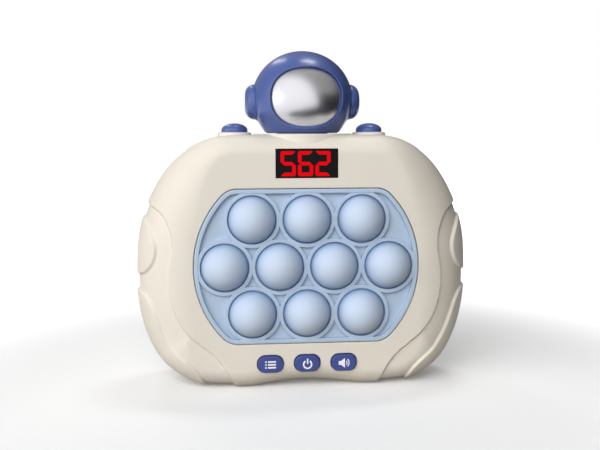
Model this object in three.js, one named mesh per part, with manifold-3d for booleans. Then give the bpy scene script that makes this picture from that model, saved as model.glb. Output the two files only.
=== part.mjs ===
// Hand-held quick push game with an astronaut's helmet on top: ten bubbles are pushed in as fast as they
// light up. Units are millimetres, +Z is up, the bubbles face -Y, and the body stands on Z = 0.
import * as THREE from "three";
import { mergeVertices } from "three/addons/utils/BufferGeometryUtils.js";
import Module from "manifold-3d";

const wasm = await Module();
wasm.setup();

// General fits
const wall = 2.2; // moulded casing wall
const fitGap = 0.3; // clearance between pieces that are assembled together
const seatGap = 0.2; // clearance under a piece that sits flat on its carrier
const overrun = 3; // how far a cutting tool runs past what it cuts

// Body casing
const bodyHalfDepth = 22;
const faceBorder = 1.7; // flat of the face beside the panel, before the flank rounds away
const sideRound = 24.4; // how far in from the side the face begins
const displayRidge = 12.5; // from the display's middle up to the body's top line
const flankLand = 1; // straight stretch of the flank at the seam, front and rear alike
const topRound = 8.5;
const topRoundDepth = 10;
const bottomRound = 9;
const bottomRoundDepth = 10;
const reliefDepth = 1.1; // the grip band lies this far below the skin
const seamGap = 0.3; // gap between the front and rear casings
const outlineSteps = 52;
const roundSteps = 4;
const cavitySteps = 36;
const cavityRoundSteps = 3;
const blendPower = 3; // how fast the flank's rounding gives way to the top's and the bottom's

// Right half of the body's outline, top to bottom, as shares of the half width and of the ridge height
const bodyOutlineShares = [
  [0, 1],
  [0.293, 0.998],
  [0.507, 0.992],
  [0.652, 0.957],
  [0.787, 0.8855],
  [0.888, 0.79],
  [0.951, 0.693],
  [0.988, 0.597],
  [1, 0.474],
  [1, 0.376],
  [0.987, 0.301],
  [0.948, 0.201],
  [0.88, 0.1145],
  [0.787, 0.059],
  [0.667, 0.0197],
  [0.593, 0.007],
  [0.427, -0.0013],
  [0.32, -0.001],
  [0.16, 0.0152],
  [0, 0.0242],
];
// Edge of the front face where it steps down to the grip band, right side, from beyond the outline down
const gripStepShares = [
  [1.2, 0.756],
  [0.947, 0.736],
  [0.88, 0.7155],
  [0.831, 0.69],
  [0.799, 0.6485],
  [0.779, 0.599],
  [0.779, 0.5456],
  [0.796, 0.4785],
  [0.8, 0.4114],
  [0.783, 0.34],
  [0.744, 0.2728],
  [0.687, 0.2227],
  [0.611, 0.178],
  [0.537, 0.1369],
  [0.485, 0.093],
  [0.451, 0.051],
  [0.429, 0.009],
  [0.42, -0.045],
];
// Inner edge of the upper finger pad, from beyond the outline and back out again
const upperPadShares = [
  [1.2, 0.706],
  [0.975, 0.69],
  [0.941, 0.668],
  [0.905, 0.625],
  [0.877, 0.568],
  [0.889, 0.515],
  [0.924, 0.477],
  [0.972, 0.4535],
  [1.2, 0.43],
];
// Inner edge of the lower finger pad
const lowerPadShares = [
  [1.2, 0.4],
  [1, 0.3865],
  [0.953, 0.3757],
  [0.924, 0.354],
  [0.895, 0.3157],
  [0.869, 0.268],
  [0.84, 0.22],
  [0.797, 0.1717],
  [0.751, 0.1369],
  [0.693, 0.1055],
  [0.644, 0.0716],
  [0.612, 0.0358],
  [0.597, 0.0045],
  [0.593, -0.045],
];
const edgeSteps = 14; // points along each of those edges

// Neck that carries the helmet
const neckRise = 0.2; // of the neck above the body's top line
const neckTopRadius = 21.4;
const neckFootRadius = 25.6;
const neckHeight = 7;
const neckInset = 0.1; // the neck's flats lie this far inside the front and rear faces
const roundSegments = 24;

// Bubble panel
const panelSideMargin = 1.3; // from the outer bubbles' cells to the panel's edge
const panelTopMargin = 1.2;
const panelSideRadius = 45;
const panelCornerRadius = 9;
const panelRimWidth = 1.9;
const panelProud = 0.5; // the rim stands this far out of the face
const panelRecess = 1.2;
const panelFloor = 2.6;
const panelFlangeWidth = 1.6;
const panelArcSteps = 8;
const panelCornerSteps = 4;

// Bubbles and their plungers
const bubblePitch = 23.8;
const bubbleRowPitch = (bubblePitch * Math.sqrt(3)) / 2;
const bubbleRowCounts = [3, 4, 3];
const bubbleWeb = 2.6; // of the wall that two neighbouring bubbles share
const bubbleHeight = 7.2; // of the dome above the ring that it stands in
const bubbleWall = 1.3;
const bubbleTravel = 4.2;
const bubbleGroove = 0.6; // ring round each bubble to the bubble itself
const bubbleFlangeGap = 0.8; // between neighbouring flanges
const bubbleFlange = 1.2;
const ringWidth = 1.6;
const ringStep = 0.2; // rings lie this far below the rim
const plungerInset = 2.8; // from the bubble's side to the plunger's head
const plungerClearance = 0.9;
const plungerHead = 2.6;
const plungerStemRadius = 2.4;
const bubbleSegments = 16;
const domeSteps = 4;
const innerDomeSteps = 2;
const plungerSegments = 10;

// Main board and its switches
const boardThickness = 1.6;
const boardSideInset = 3.9; // from the panel's side
const boardLowMargin = 8.5; // below the lowest bubbles' middles
const boardShoulderRise = 3.5; // above the display's middle
const boardShoulderHalfWidth = 36;
const boardTopRise = 6;
const boardTongueHalfWidth = 16;
const boardCornerRise = 2.3; // above the top bubbles' middles, from where the sides lean in
const boardLean = 10; // height of that lean
const switchSide = 6;
const switchBody = 3.4;
const switchStem = 0.8;
const switchStemRadius = 1.7;
const switchSegments = 10;
const ledSize = 2;
const ledOffset = 5.6;
const boardPostRadius = 2.2;
const boardPinRadius = 1.2;
const boardPinLength = 2.4;
const boardPostShare = 1.618; // of the bubble pitch, out from the middle
const boardPostRowShare = 0.893; // of the row pitch, up and down from the middle
const postSegments = 12;

// Score display
const displayPanelGap = 11; // from the panel's top up to the display's middle
const displayWidth = 26.3;
const displayHeight = 12.5;
const windowSet = 0.5; // the window lies this far below the face
const windowLug = 2;
const windowLugInset = 1.4;
const windowLugDepth = 0.8;
const moduleDepth = 8;
const modulePinSize = 0.6;
const modulePinPitch = 3.6;
const modulePinCount = 6;
const modulePinRow = 10; // between the two rows of pins

// Keys along the bottom
const keyCentre = 11.6;
const keyPanelGap = 9.3; // from the keys' middles up to the panel
const keyPitch = 16.2;
const keyWidth = 11.1;
const keyHeight = 7.4;
const keyCorner = 3.3;
const keyProud = 0.9;
const keyTravel = 1;
const keyLug = 1.5;
const keyLugHalfHeight = 2;
const keyLugDepth = 0.8;
const keyPostRadius = 1.6;
const keyPost = 0.6;
const keySwitchStem = 0.6;
const keyBoardHalfLength = 29;
const keyBoardHeight = 9.6;
const keyBoardPostX = 26.8;
const keyBoardPostRadius = 1.9;
const cornerSteps = 3;

// Buttons on the shoulders
const topButtonX = 30.5;
const topButtonRadius = 5.85;
const topButtonRise = 4.4; // above its collar
const topButtonDome = 3;
const topButtonFlangeRadius = 7.2;
const topButtonFlange = 1.3;
const topButtonStemRadius = 2;
const topButtonStem = 1.4;
const topButtonTravel = 2;
const collarRise = 0.9; // above the body's top line
const collarRadius = 7.55;
const collarHeight = 5;
const topSwitchStemLength = 1.2;
const topButtonSegments = 16;

// Helmet
const helmetRise = 14.7; // of the ball's middle above the helmet's base
const helmetHalfWidth = 22.6;
const helmetHalfHeight = 21.7;
const helmetHalfDepth = 23.6;
const helmetWall = 1.6;
const visorRise = 0.5; // of the visor's middle above the ball's
const visorHalfWidth = 15.1;
const visorHalfHeight = 12.45;
const visorThickness = 1.4;
const visorLap = 1;
const spigotRadius = 11.5;
const spigotWall = 1.8;
const spigotFlange = 1.2;
const spigotFlangeRadius = 12.9;
const earDrop = 0.8; // of the ears' middles below the ball's
const earRadius = 7.8;
const earTip = 25.6;
const earFillet = 3.4;
const earRoot = 15;
const helmetSegments = 24;
const helmetRings = 12;
const visorSegments = 26;

// Battery compartment, three AAA cells
const cellRadius = 5.25;
const cellLength = 43.7;
const nubRadius = 1.9;
const nubLength = 0.8;
const cellPitch = 10.9;
const cellCount = 3;
const cellSegments = 14;
const contactThickness = 0.5;
const contactSpring = 1.1;
const contactPad = 3;
const boxWall = 3;
const boxFloor = 1.6;
const boxDrop = 68.8; // of the compartment's middle below the body's top line
const doorThickness = 2.4;
const doorLap = 1.4;
const doorTongue = 9.5; // the door runs this far past the compartment, for its screw
const doorCorner = 3;
const gripRibs = 4;
const gripRibPitch = 3;
const gripRibWidth = 1.1;
const gripRibDepth = 0.5;
const gripRibLength = 14;

// Speaker
const speakerDoorGap = 0.95; // between the speaker's ring and the door
const speakerRadius = 13.5;
const speakerFrame = 1.8;
const speakerConeRadius = 9;
const speakerCone = 2;
const magnetRadius = 6.5;
const magnetDepth = 3;
const speakerRing = 1.5;
const speakerRingDepth = 3.6;
const grilleSlots = 5;
const grillePitch = 3.6;
const grilleSlotWidth = 1.6;
const grilleRadius = 10.5;

// Screws
const screwHeadRadius = 2.7;
const screwHead = 1.4;
const screwShankRadius = 1.4;
const screwShank = 11;
const screwSegments = 12;
const bossRadius = 3.4;
const wellRadius = 4.6;
const wellDepth = 4; // the screw's seat lies this far behind the seam
const wellSeat = 2;
const caseScrewShares = [
  [0.667, 0.841],
  [0.68, 0.1923],
]; // of the body's half width and of its ridge height
const doorScrewShank = 7;
const doorPocket = 1.8; // the door's screw sits in a pocket this deep
const doorBossRadius = 3.2;

const bubbleRadius = (bubblePitch - bubbleWeb) / 2 - bubbleGroove;
const bubbleFlangeRadius = (bubblePitch - bubbleFlangeGap) / 2;
const plungerHeadRadius = bubbleRadius - plungerInset;
const panelHalfWidth = (Math.max(...bubbleRowCounts) * bubblePitch) / 2 + panelSideMargin;
const panelHalfHeight = ((bubbleRowCounts.length - 1) * bubbleRowPitch + bubblePitch) / 2 + panelTopMargin;
const panelCentre = keyCentre + keyPanelGap + panelHalfHeight;
const displayCentre = panelCentre + panelHalfHeight + displayPanelGap;
const bodyHalfWidth = panelHalfWidth + faceBorder + sideRound;
const bodyRidge = displayCentre + displayRidge; // height of the body's top line
const neckTop = bodyRidge + neckRise;
const collarTop = bodyRidge + collarRise;
const helmetBase = neckTop + fitGap;
const helmetCentre = helmetBase + helmetRise;
const visorCentre = helmetCentre + visorRise;
const earCentre = helmetCentre - earDrop;
const boxCentre = bodyRidge - boxDrop;
const sideRoundDepth = bodyHalfDepth - flankLand;
const frontFace = -bodyHalfDepth;
const rearFace = bodyHalfDepth;
const innerFront = frontFace + wall;
const innerRear = rearFace - wall;
const rimFace = frontFace - panelProud;
const ringFace = rimFace + ringStep;
const floorFace = rimFace + panelRecess;
const panelBack = floorFace + panelFloor;
const bubbleFlangeFace = panelBack + fitGap;
const bubbleSphere = (bubbleRadius ** 2 + bubbleHeight ** 2) / (2 * bubbleHeight);
const bubbleTip = ringFace - bubbleHeight;
const plungerFoot = bubbleFlangeFace + bubbleFlange + fitGap;
const switchTip = plungerFoot + bubbleTravel + fitGap;
const seamPlace = -(bubbleTip + helmetHalfDepth) / 2; // of the seam once the overall depth is centred
const boardFront = switchTip + switchStem + switchBody + seatGap;
const boardHalfWidth = panelHalfWidth - boardSideInset;
const boardLow = panelCentre - bubbleRowPitch - boardLowMargin;
const boardShoulder = displayCentre + boardShoulderRise;
const boardTop = displayCentre + boardTopRise;
const boardCornerHeight = panelCentre + bubbleRowPitch + boardCornerRise;
const boardWaistHeight = boardCornerHeight + boardLean;
const boardBack = boardFront + boardThickness;

// Turns a closed geometry into a solid whose faces point out
function solidOf(geometry) {
  const plain = geometry.clone();
  plain.deleteAttribute("normal");
  plain.deleteAttribute("uv");
  const merged = mergeVertices(plain);
  const triVerts = new Uint32Array(merged.index.array);
  const build = () =>
    new wasm.Manifold(
      new wasm.Mesh({ numProp: 3, vertProperties: merged.attributes.position.array, triVerts }),
    );
  const made = build();
  if (made.volume() >= 0) return made;
  for (let i = 0; i < triVerts.length; i += 3) {
    [triVerts[i], triVerts[i + 1]] = [triVerts[i + 1], triVerts[i]];
  }
  return build();
}

function geometryOf(solid) {
  const mesh = solid.getMesh();
  const geometry = new THREE.BufferGeometry();
  geometry.setAttribute("position", new THREE.BufferAttribute(mesh.vertProperties, mesh.numProp));
  geometry.setIndex(new THREE.BufferAttribute(mesh.triVerts, 1));
  const flat = geometry.toNonIndexed();
  flat.computeVertexNormals();
  return flat;
}

const joined = (solids) => solids.reduce((sum, solid) => sum.add(solid));

// A flat outline in X and Z, carried from one Y to another
function prism(points, fromY, toY) {
  const geometry = new THREE.ExtrudeGeometry(new THREE.Shape(points), {
    depth: toY - fromY,
    bevelEnabled: false,
  });
  geometry.rotateX(Math.PI / 2);
  geometry.translate(0, toY, 0);
  return solidOf(geometry);
}

function block(low, high) {
  const size = high.map((value, k) => value - low[k]);
  const geometry = new THREE.BoxGeometry(...size);
  geometry.translate(...low.map((value, k) => value + size[k] / 2));
  return solidOf(geometry);
}

// A turned piece: profile points are [radius, place along the axis]
function turned(profile, segments, axis = "y") {
  const geometry = new THREE.LatheGeometry(
    profile.map(([radius, along]) => new THREE.Vector2(radius, along)),
    segments,
  );
  if (axis === "z") geometry.rotateX(Math.PI / 2);
  if (axis === "x") geometry.rotateZ(-Math.PI / 2);
  return solidOf(geometry);
}

function rod(radius, from, to, segments, axis = "y") {
  return turned(
    [
      [0, from],
      [radius, from],
      [radius, to],
      [0, to],
    ],
    segments,
    axis,
  );
}

function roundedRectangle(width, height, corner, centreX, centreZ) {
  const points = [];
  const signs = [
    [1, 1],
    [-1, 1],
    [-1, -1],
    [1, -1],
  ];
  signs.forEach(([sx, sz], k) => {
    for (let i = 0; i <= cornerSteps; i++) {
      const angle = (k + i / cornerSteps) * (Math.PI / 2);
      points.push(
        new THREE.Vector2(
          centreX + sx * (width / 2 - corner) + corner * Math.cos(angle),
          centreZ + sz * (height / 2 - corner) + corner * Math.sin(angle),
        ),
      );
    }
  });
  return points;
}

// Body surface: an outline whose rounding grows from the top and the bottom to the flanks
function bodyStations(count) {
  const right = bodyOutlineShares.map(([x, z]) => new THREE.Vector3(x * bodyHalfWidth, 0, z * bodyRidge));
  const left = right
    .slice(1, -1)
    .reverse()
    .map((point) => new THREE.Vector3(-point.x, 0, point.z));
  const curve = new THREE.CatmullRomCurve3([...right, ...left], true, "centripetal");
  return Array.from({ length: count }, (_, i) => {
    const point = curve.getPointAt(i / count);
    const along = curve.getTangentAt(i / count);
    const out = new THREE.Vector3(-along.z, 0, along.x);
    const lift = Math.abs(out.z) ** blendPower;
    const [round, depth] = out.z > 0 ? [topRound, topRoundDepth] : [bottomRound, bottomRoundDepth];
    return {
      point,
      out,
      round: THREE.MathUtils.lerp(sideRound, round, lift),
      roundDepth: THREE.MathUtils.lerp(sideRoundDepth, depth, lift),
    };
  });
}

function bodyRing(stations, inset, side, angle) {
  return stations.map(({ point, out, round, roundDepth }) => {
    const across = inset + (round - inset) * (1 - Math.cos(angle));
    const depth = roundDepth - inset;
    const place = point.clone().addScaledVector(out, -across);
    place.y = side * (bodyHalfDepth - inset - depth + depth * Math.sin(angle));
    return place;
  });
}

// Closes a stack of rings into one skin, with a fan from the middle of the first and the last ring
function loft(rings) {
  const count = rings[0].length;
  const middles = [rings[0], rings.at(-1)].map((ring) =>
    ring.reduce((sum, point) => sum.add(point), new THREE.Vector3()).divideScalar(count),
  );
  const position = [...rings.flat(), ...middles].flatMap((point) => point.toArray());
  const index = [];
  for (let k = 0; k < rings.length - 1; k++) {
    for (let i = 0; i < count; i++) {
      const a = k * count + i;
      const b = k * count + ((i + 1) % count);
      index.push(a, b, a + count, b, b + count, a + count);
    }
  }
  const first = rings.length * count;
  const last = first - count;
  for (let i = 0; i < count; i++) {
    const next = (i + 1) % count;
    index.push(first, next, i);
    index.push(first + 1, last + i, last + next);
  }
  const geometry = new THREE.BufferGeometry();
  geometry.setAttribute("position", new THREE.Float32BufferAttribute(position, 3));
  geometry.setIndex(index);
  return solidOf(geometry);
}

function pillow(inset, around, steps) {
  const stations = bodyStations(around);
  const angles = Array.from({ length: steps + 1 }, (_, i) => (i / steps) * (Math.PI / 2));
  const front = angles.toReversed().map((angle) => bodyRing(stations, inset, -1, angle));
  const rear = angles.map((angle) => bodyRing(stations, inset, 1, angle));
  return loft([...front, ...rear]);
}

// Grip bands: what lies outside the step line and is not a finger pad
function flankEdge(shares) {
  const points = shares.map(([x, z]) => new THREE.Vector2(x * bodyHalfWidth, z * bodyRidge));
  return new THREE.SplineCurve(points).getPoints(edgeSteps);
}

function flankPrism(points, side) {
  const depth = bodyHalfDepth + overrun;
  return prism(
    points.map((point) => new THREE.Vector2(side * point.x, point.y)),
    -depth,
    depth,
  );
}

function gripBand(side) {
  const step = flankEdge(gripStepShares);
  const outer = step[0].x;
  const band = flankPrism([...step, new THREE.Vector2(outer, step.at(-1).y)], side);
  const upper = flankPrism(flankEdge(upperPadShares), side);
  const lowerEdge = flankEdge(lowerPadShares);
  const lower = flankPrism([...lowerEdge, new THREE.Vector2(outer, lowerEdge.at(-1).y)], side);
  return band.subtract(upper).subtract(lower);
}

function neckBlank() {
  const foot = neckTop - neckHeight;
  const cone = turned(
    [
      [0, foot],
      [neckFootRadius, foot],
      [neckTopRadius, neckTop],
      [0, neckTop],
    ],
    roundSegments,
    "z",
  );
  const reach = neckFootRadius + overrun;
  const neckFlat = bodyHalfDepth - neckInset;
  return cone.intersect(block([-reach, -neckFlat, foot - overrun], [reach, neckFlat, neckTop + overrun]));
}

const topButtonCentres = [-topButtonX, topButtonX];

function bodyBlank() {
  let body = pillow(0, outlineSteps, roundSteps);
  [-1, 1].forEach((side) => {
    body = body.subtract(gripBand(side));
  });
  body = body.add(pillow(reliefDepth, outlineSteps, roundSteps)).add(neckBlank());
  topButtonCentres.forEach((x) => {
    const collar = rod(collarRadius, collarTop - collarHeight, collarTop, topButtonSegments, "z");
    body = body.add(collar.translate([x, 0, 0]));
  });
  const reach = bodyHalfWidth + overrun;
  return body.subtract(block([-reach, -reach, -reach], [reach, reach, 0]));
}

// Barrel-shaped outline of the bubble panel, grown or shrunk by an offset
function panelOutline(offset) {
  const radius = panelSideRadius + offset;
  const corner = panelCornerRadius + offset;
  const high = panelHalfHeight + offset;
  const sideX = panelHalfWidth - panelSideRadius;
  const cornerX = sideX + Math.sqrt((radius - corner) ** 2 - (high - corner) ** 2);
  const meet = Math.atan2(high - corner, cornerX - sideX);
  const quarter = [];
  for (let i = 0; i <= panelArcSteps; i++) {
    const angle = (meet * i) / panelArcSteps;
    quarter.push([sideX + radius * Math.cos(angle), radius * Math.sin(angle)]);
  }
  for (let i = 1; i <= panelCornerSteps; i++) {
    const angle = meet + ((Math.PI / 2 - meet) * i) / panelCornerSteps;
    quarter.push([cornerX + corner * Math.cos(angle), high - corner + corner * Math.sin(angle)]);
  }
  const back = quarter.toReversed();
  return [
    ...quarter,
    ...back.map(([x, z]) => [-x, z]),
    ...quarter.slice(1).map(([x, z]) => [-x, -z]),
    ...back.slice(0, -1).map(([x, z]) => [x, -z]),
  ].map(([x, z]) => new THREE.Vector2(x, panelCentre + z));
}

// Bubble places, row by row from the top left
const bubblePlaces = bubbleRowCounts.flatMap((count, row) =>
  Array.from({ length: count }, (_, i) => [
    (i - (count - 1) / 2) * bubblePitch,
    panelCentre + ((bubbleRowCounts.length - 1) / 2 - row) * bubbleRowPitch,
  ]),
);

const boardPosts = [-1, 1].flatMap((sx) =>
  [-1, 1].map((sz) => [
    sx * boardPostShare * bubblePitch,
    panelCentre + sz * boardPostRowShare * bubbleRowPitch,
  ]),
);

function bubblePanel() {
  let panel = prism(panelOutline(0), rimFace, panelBack);
  panel = panel.subtract(prism(panelOutline(-panelRimWidth), rimFace - overrun, floorFace));
  panel = panel.add(prism(panelOutline(panelFlangeWidth), innerFront + seatGap, panelBack));
  const ringRadius = bubbleRadius + bubbleGroove;
  const rings = bubblePlaces.map(([x, z]) =>
    rod(ringRadius + ringWidth, ringFace, panelBack, bubbleSegments).translate([x, 0, z]),
  );
  const kept = prism(panelOutline(0), ringFace, panelBack);
  panel = panel.add(joined(rings).intersect(kept));
  bubblePlaces.forEach(([x, z]) => {
    const hole = rod(ringRadius, rimFace - overrun, panelBack + overrun, bubbleSegments);
    panel = panel.subtract(hole.translate([x, 0, z]));
  });
  boardPosts.forEach(([x, z]) => {
    const post = turned(
      [
        [0, panelBack - panelFloor / 2],
        [boardPostRadius, panelBack - panelFloor / 2],
        [boardPostRadius, boardFront - seatGap],
        [boardPinRadius, boardFront - seatGap],
        [boardPinRadius, boardFront + boardPinLength],
        [0, boardFront + boardPinLength],
      ],
      postSegments,
    );
    panel = panel.add(post.translate([x, 0, z]));
  });
  return panel;
}

// Points of a dome's section, from its tip to where it is as wide as asked
function domeArc(sphere, tip, width, steps) {
  const widest = Math.asin(Math.min(1, width / sphere));
  return Array.from({ length: steps + 1 }, (_, i) => {
    const angle = (widest * i) / steps;
    return [sphere * Math.sin(angle), tip + sphere * (1 - Math.cos(angle))];
  });
}

function bubble() {
  const innerRadius = bubbleRadius - bubbleWall;
  const inner = domeArc(bubbleSphere - bubbleWall, bubbleTip + bubbleWall, innerRadius, innerDomeSteps);
  const flangeBack = bubbleFlangeFace + bubbleFlange;
  return turned(
    [
      ...domeArc(bubbleSphere, bubbleTip, bubbleRadius, domeSteps),
      [bubbleRadius, bubbleFlangeFace],
      [bubbleFlangeRadius, bubbleFlangeFace],
      [bubbleFlangeRadius, flangeBack],
      [innerRadius, flangeBack],
      ...inner.toReversed(),
    ],
    bubbleSegments,
  );
}

function plunger() {
  const inset = bubbleWall + plungerClearance;
  const head = domeArc(bubbleSphere - inset, bubbleTip + inset, plungerHeadRadius, innerDomeSteps);
  const headBack = head.at(-1)[1] + plungerHead;
  return turned(
    [
      ...head,
      [plungerHeadRadius, headBack],
      [plungerStemRadius, headBack],
      [plungerStemRadius, plungerFoot],
      [0, plungerFoot],
    ],
    plungerSegments,
  );
}

function tactSwitch(stem) {
  const half = switchSide / 2;
  const body = block([-half, -switchBody, -half], [half, 0, half]);
  return body.add(rod(switchStemRadius, -switchBody - stem, -switchBody / 2, switchSegments));
}

function mainBoard() {
  const outline = [
    [-boardHalfWidth, boardLow],
    [boardHalfWidth, boardLow],
    [boardHalfWidth, boardCornerHeight],
    [boardShoulderHalfWidth, boardWaistHeight],
    [boardShoulderHalfWidth, boardShoulder],
    [boardTongueHalfWidth, boardShoulder],
    [boardTongueHalfWidth, boardTop],
    [-boardTongueHalfWidth, boardTop],
    [-boardTongueHalfWidth, boardShoulder],
    [-boardShoulderHalfWidth, boardShoulder],
    [-boardShoulderHalfWidth, boardWaistHeight],
    [-boardHalfWidth, boardCornerHeight],
  ].map(([x, z]) => new THREE.Vector2(x, z));
  let board = prism(outline, boardFront, boardBack);
  boardPosts.forEach(([x, z]) => {
    const hole = rod(boardPinRadius + fitGap / 2, boardFront - overrun, boardBack + overrun, postSegments);
    board = board.subtract(hole.translate([x, 0, z]));
  });
  const chip = ledSize / 2;
  const led = block([-chip, boardFront - ledSize, -chip], [chip, boardBack, chip]);
  bubblePlaces.forEach(([x, z]) => {
    board = board.add(led.translate([x, 0, z - ledOffset]));
  });
  // Upright switches under the shoulder buttons, soldered to the board's back
  const half = switchSide / 2;
  const tip = topButtonFoot - topButtonTravel - fitGap;
  const top = tip - topSwitchStemLength;
  topButtonCentres.forEach((x) => {
    const body = block([x - half, boardFront, top - switchSide], [x + half, half, top]);
    const stem = rod(switchStemRadius, top - half, tip, switchSegments, "z");
    board = board.add(body).add(stem.translate([x, 0, 0]));
  });
  return board;
}

// Display
function displayWindow() {
  const low = displayCentre - displayHeight / 2;
  const high = displayCentre + displayHeight / 2;
  const half = displayWidth / 2;
  const face = frontFace + windowSet;
  const back = innerFront + 2 * fitGap + windowLugDepth;
  const pane = block([-half, face, low], [half, back, high]);
  const lugs = block(
    [-half - windowLug, back - windowLugDepth, low + windowLugInset],
    [half + windowLug, back, high - windowLugInset],
  );
  return pane.add(lugs);
}

function displayModule() {
  const front = innerFront + 3 * fitGap + windowLugDepth;
  const half = [displayWidth / 2 - fitGap, displayHeight / 2 - fitGap];
  const rear = Math.min(front + moduleDepth, boardFront - seatGap);
  let module = block([-half[0], front, displayCentre - half[1]], [half[0], rear, displayCentre + half[1]]);
  const pin = modulePinSize / 2;
  [-1, 1].forEach((side) => {
    for (let i = 0; i < modulePinCount; i++) {
      const x = (i - (modulePinCount - 1) / 2) * modulePinPitch;
      const z = displayCentre + (side * modulePinRow) / 2;
      module = module.add(block([x - pin, rear - pin, z - pin], [x + pin, boardFront - seatGap, z + pin]));
    }
  });
  return module;
}

// Keys
const keyCentres = [-keyPitch, 0, keyPitch];
const keyBack = innerFront + 2 * fitGap + keyLugDepth;
const keyFoot = keyBack + keyPost;
const keyBoardFront = keyFoot + keyTravel + fitGap + keySwitchStem + switchBody;

function keyCap() {
  const cap = prism(roundedRectangle(keyWidth, keyHeight, keyCorner, 0, 0), frontFace - keyProud, keyBack);
  const lugs = block(
    [-keyWidth / 2 - keyLug, keyBack - keyLugDepth, -keyLugHalfHeight],
    [keyWidth / 2 + keyLug, keyBack, keyLugHalfHeight],
  );
  return cap.add(lugs).add(rod(keyPostRadius, keyBack - keyLugDepth, keyFoot, switchSegments));
}

function keyBoard() {
  let board = block(
    [-keyBoardHalfLength, keyBoardFront, keyCentre - keyBoardHeight / 2],
    [keyBoardHalfLength, keyBoardFront + boardThickness, keyCentre + keyBoardHeight / 2],
  );
  keyCentres.forEach((x) => {
    const half = switchSide / 2;
    const body = block([-half, -switchBody, -half], [half, boardThickness / 2, half]);
    const stem = rod(switchStemRadius, -switchBody - keySwitchStem, -switchBody / 2, switchSegments);
    board = board.add(body.add(stem).translate([x, keyBoardFront, keyCentre]));
  });
  return board;
}

// Shoulder buttons
const collarInside = bodyRidge - wall - fitGap; // the casing's underside round the collars
const topButtonFlangeTop = collarInside - 2 * fitGap;
const topButtonFoot = topButtonFlangeTop - topButtonFlange - topButtonStem;

function topButton() {
  const tip = collarTop + topButtonRise;
  const shoulder = tip - topButtonDome;
  const dome = Array.from({ length: domeSteps + 1 }, (_, i) => {
    const angle = (i / domeSteps) * (Math.PI / 2);
    return [topButtonRadius * Math.sin(angle), shoulder + topButtonDome * Math.cos(angle)];
  });
  return turned(
    [
      ...dome,
      [topButtonRadius, topButtonFlangeTop],
      [topButtonFlangeRadius, topButtonFlangeTop],
      [topButtonFlangeRadius, topButtonFlangeTop - topButtonFlange],
      [topButtonStemRadius, topButtonFlangeTop - topButtonFlange],
      [topButtonStemRadius, topButtonFoot],
      [0, topButtonFoot],
    ],
    topButtonSegments,
    "z",
  );
}

// Battery compartment sizes, all from the cells
const boxHalfLength = cellLength / 2 + nubLength + contactThickness + contactSpring + fitGap;
const boxHalfHeight = ((cellCount - 1) * cellPitch) / 2 + cellRadius + 2 * fitGap;
const doorFace = rearFace - doorThickness;
const boxBottom = doorFace - fitGap - 2 * cellRadius - 2 * fitGap;
const doorHalfWidth = boxHalfLength + doorLap;
const doorLow = boxCentre - boxHalfHeight - doorLap;
const doorHigh = boxCentre + boxHalfHeight + doorTongue;
const speakerCentre = doorHigh + speakerDoorGap + speakerRing + fitGap + speakerRadius;
const doorScrewZ = boxCentre + boxHalfHeight + (doorTongue + boxWall) / 2;
const doorSeat = doorFace - fitGap;
const doorScrewSeat = rearFace - doorPocket;

function doorOutline(offset) {
  return roundedRectangle(
    2 * (doorHalfWidth + offset),
    doorHigh - doorLow + 2 * offset,
    doorCorner + offset,
    0,
    (doorHigh + doorLow) / 2,
  );
}

function batteryBox() {
  return block(
    [-boxHalfLength - boxWall, boxBottom - boxFloor, boxCentre - boxHalfHeight - boxWall],
    [boxHalfLength + boxWall, innerRear + wall / 2, boxCentre + boxHalfHeight + boxWall],
  );
}

function batteryDoor() {
  let door = prism(doorOutline(0), doorFace, rearFace);
  for (let i = 0; i < gripRibs; i++) {
    const z = doorHigh - doorTongue - i * gripRibPitch - gripRibPitch;
    door = door.subtract(
      block(
        [-gripRibLength / 2, rearFace - gripRibDepth, z - gripRibWidth / 2],
        [gripRibLength / 2, rearFace + overrun, z + gripRibWidth / 2],
      ),
    );
  }
  const hole = rod(screwShankRadius + fitGap, doorFace - overrun, rearFace + overrun, screwSegments);
  const pocket = rod(screwHeadRadius + fitGap, doorScrewSeat, rearFace + overrun, screwSegments);
  return door.subtract(hole.add(pocket).translate([0, 0, doorScrewZ]));
}

function cell() {
  const half = cellLength / 2;
  return turned(
    [
      [0, -half],
      [cellRadius, -half],
      [cellRadius, half],
      [nubRadius, half],
      [nubRadius, half + nubLength],
      [0, half + nubLength],
    ],
    cellSegments,
    "x",
  );
}

// A contact strip against one end wall, with a sprung pad for each cell
function contactStrip(side) {
  const outer = side * (boxHalfLength - fitGap / 2);
  const inner = outer - side * contactThickness;
  const padFace = inner - side * (contactSpring - fitGap);
  const middle = boxBottom + fitGap + cellRadius;
  const half = boxHalfHeight - 2 * fitGap;
  const span = (a, b) => [Math.min(a, b), Math.max(a, b)];
  const [lowX, highX] = span(outer, inner);
  let strip = block(
    [lowX, middle - contactPad, boxCentre - half],
    [highX, middle + contactPad, boxCentre + half],
  );
  cellCentres.forEach((z) => {
    const [from, to] = span(inner + (side * contactThickness) / 2, padFace);
    strip = strip.add(
      rod(contactPad, from, to, switchSegments, "x").translate([0, middle, z]),
    );
  });
  return strip;
}

const cellCentres = Array.from(
  { length: cellCount },
  (_, i) => boxCentre + (i - (cellCount - 1) / 2) * cellPitch,
);

function speaker() {
  const face = innerRear - seatGap;
  return turned(
    [
      [0, face],
      [speakerRadius, face],
      [speakerRadius, face - speakerFrame],
      [speakerConeRadius, face - speakerFrame - speakerCone],
      [magnetRadius, face - speakerFrame - speakerCone],
      [magnetRadius, face - speakerFrame - speakerCone - magnetDepth],
      [0, face - speakerFrame - speakerCone - magnetDepth],
    ],
    roundSegments,
  );
}

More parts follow.
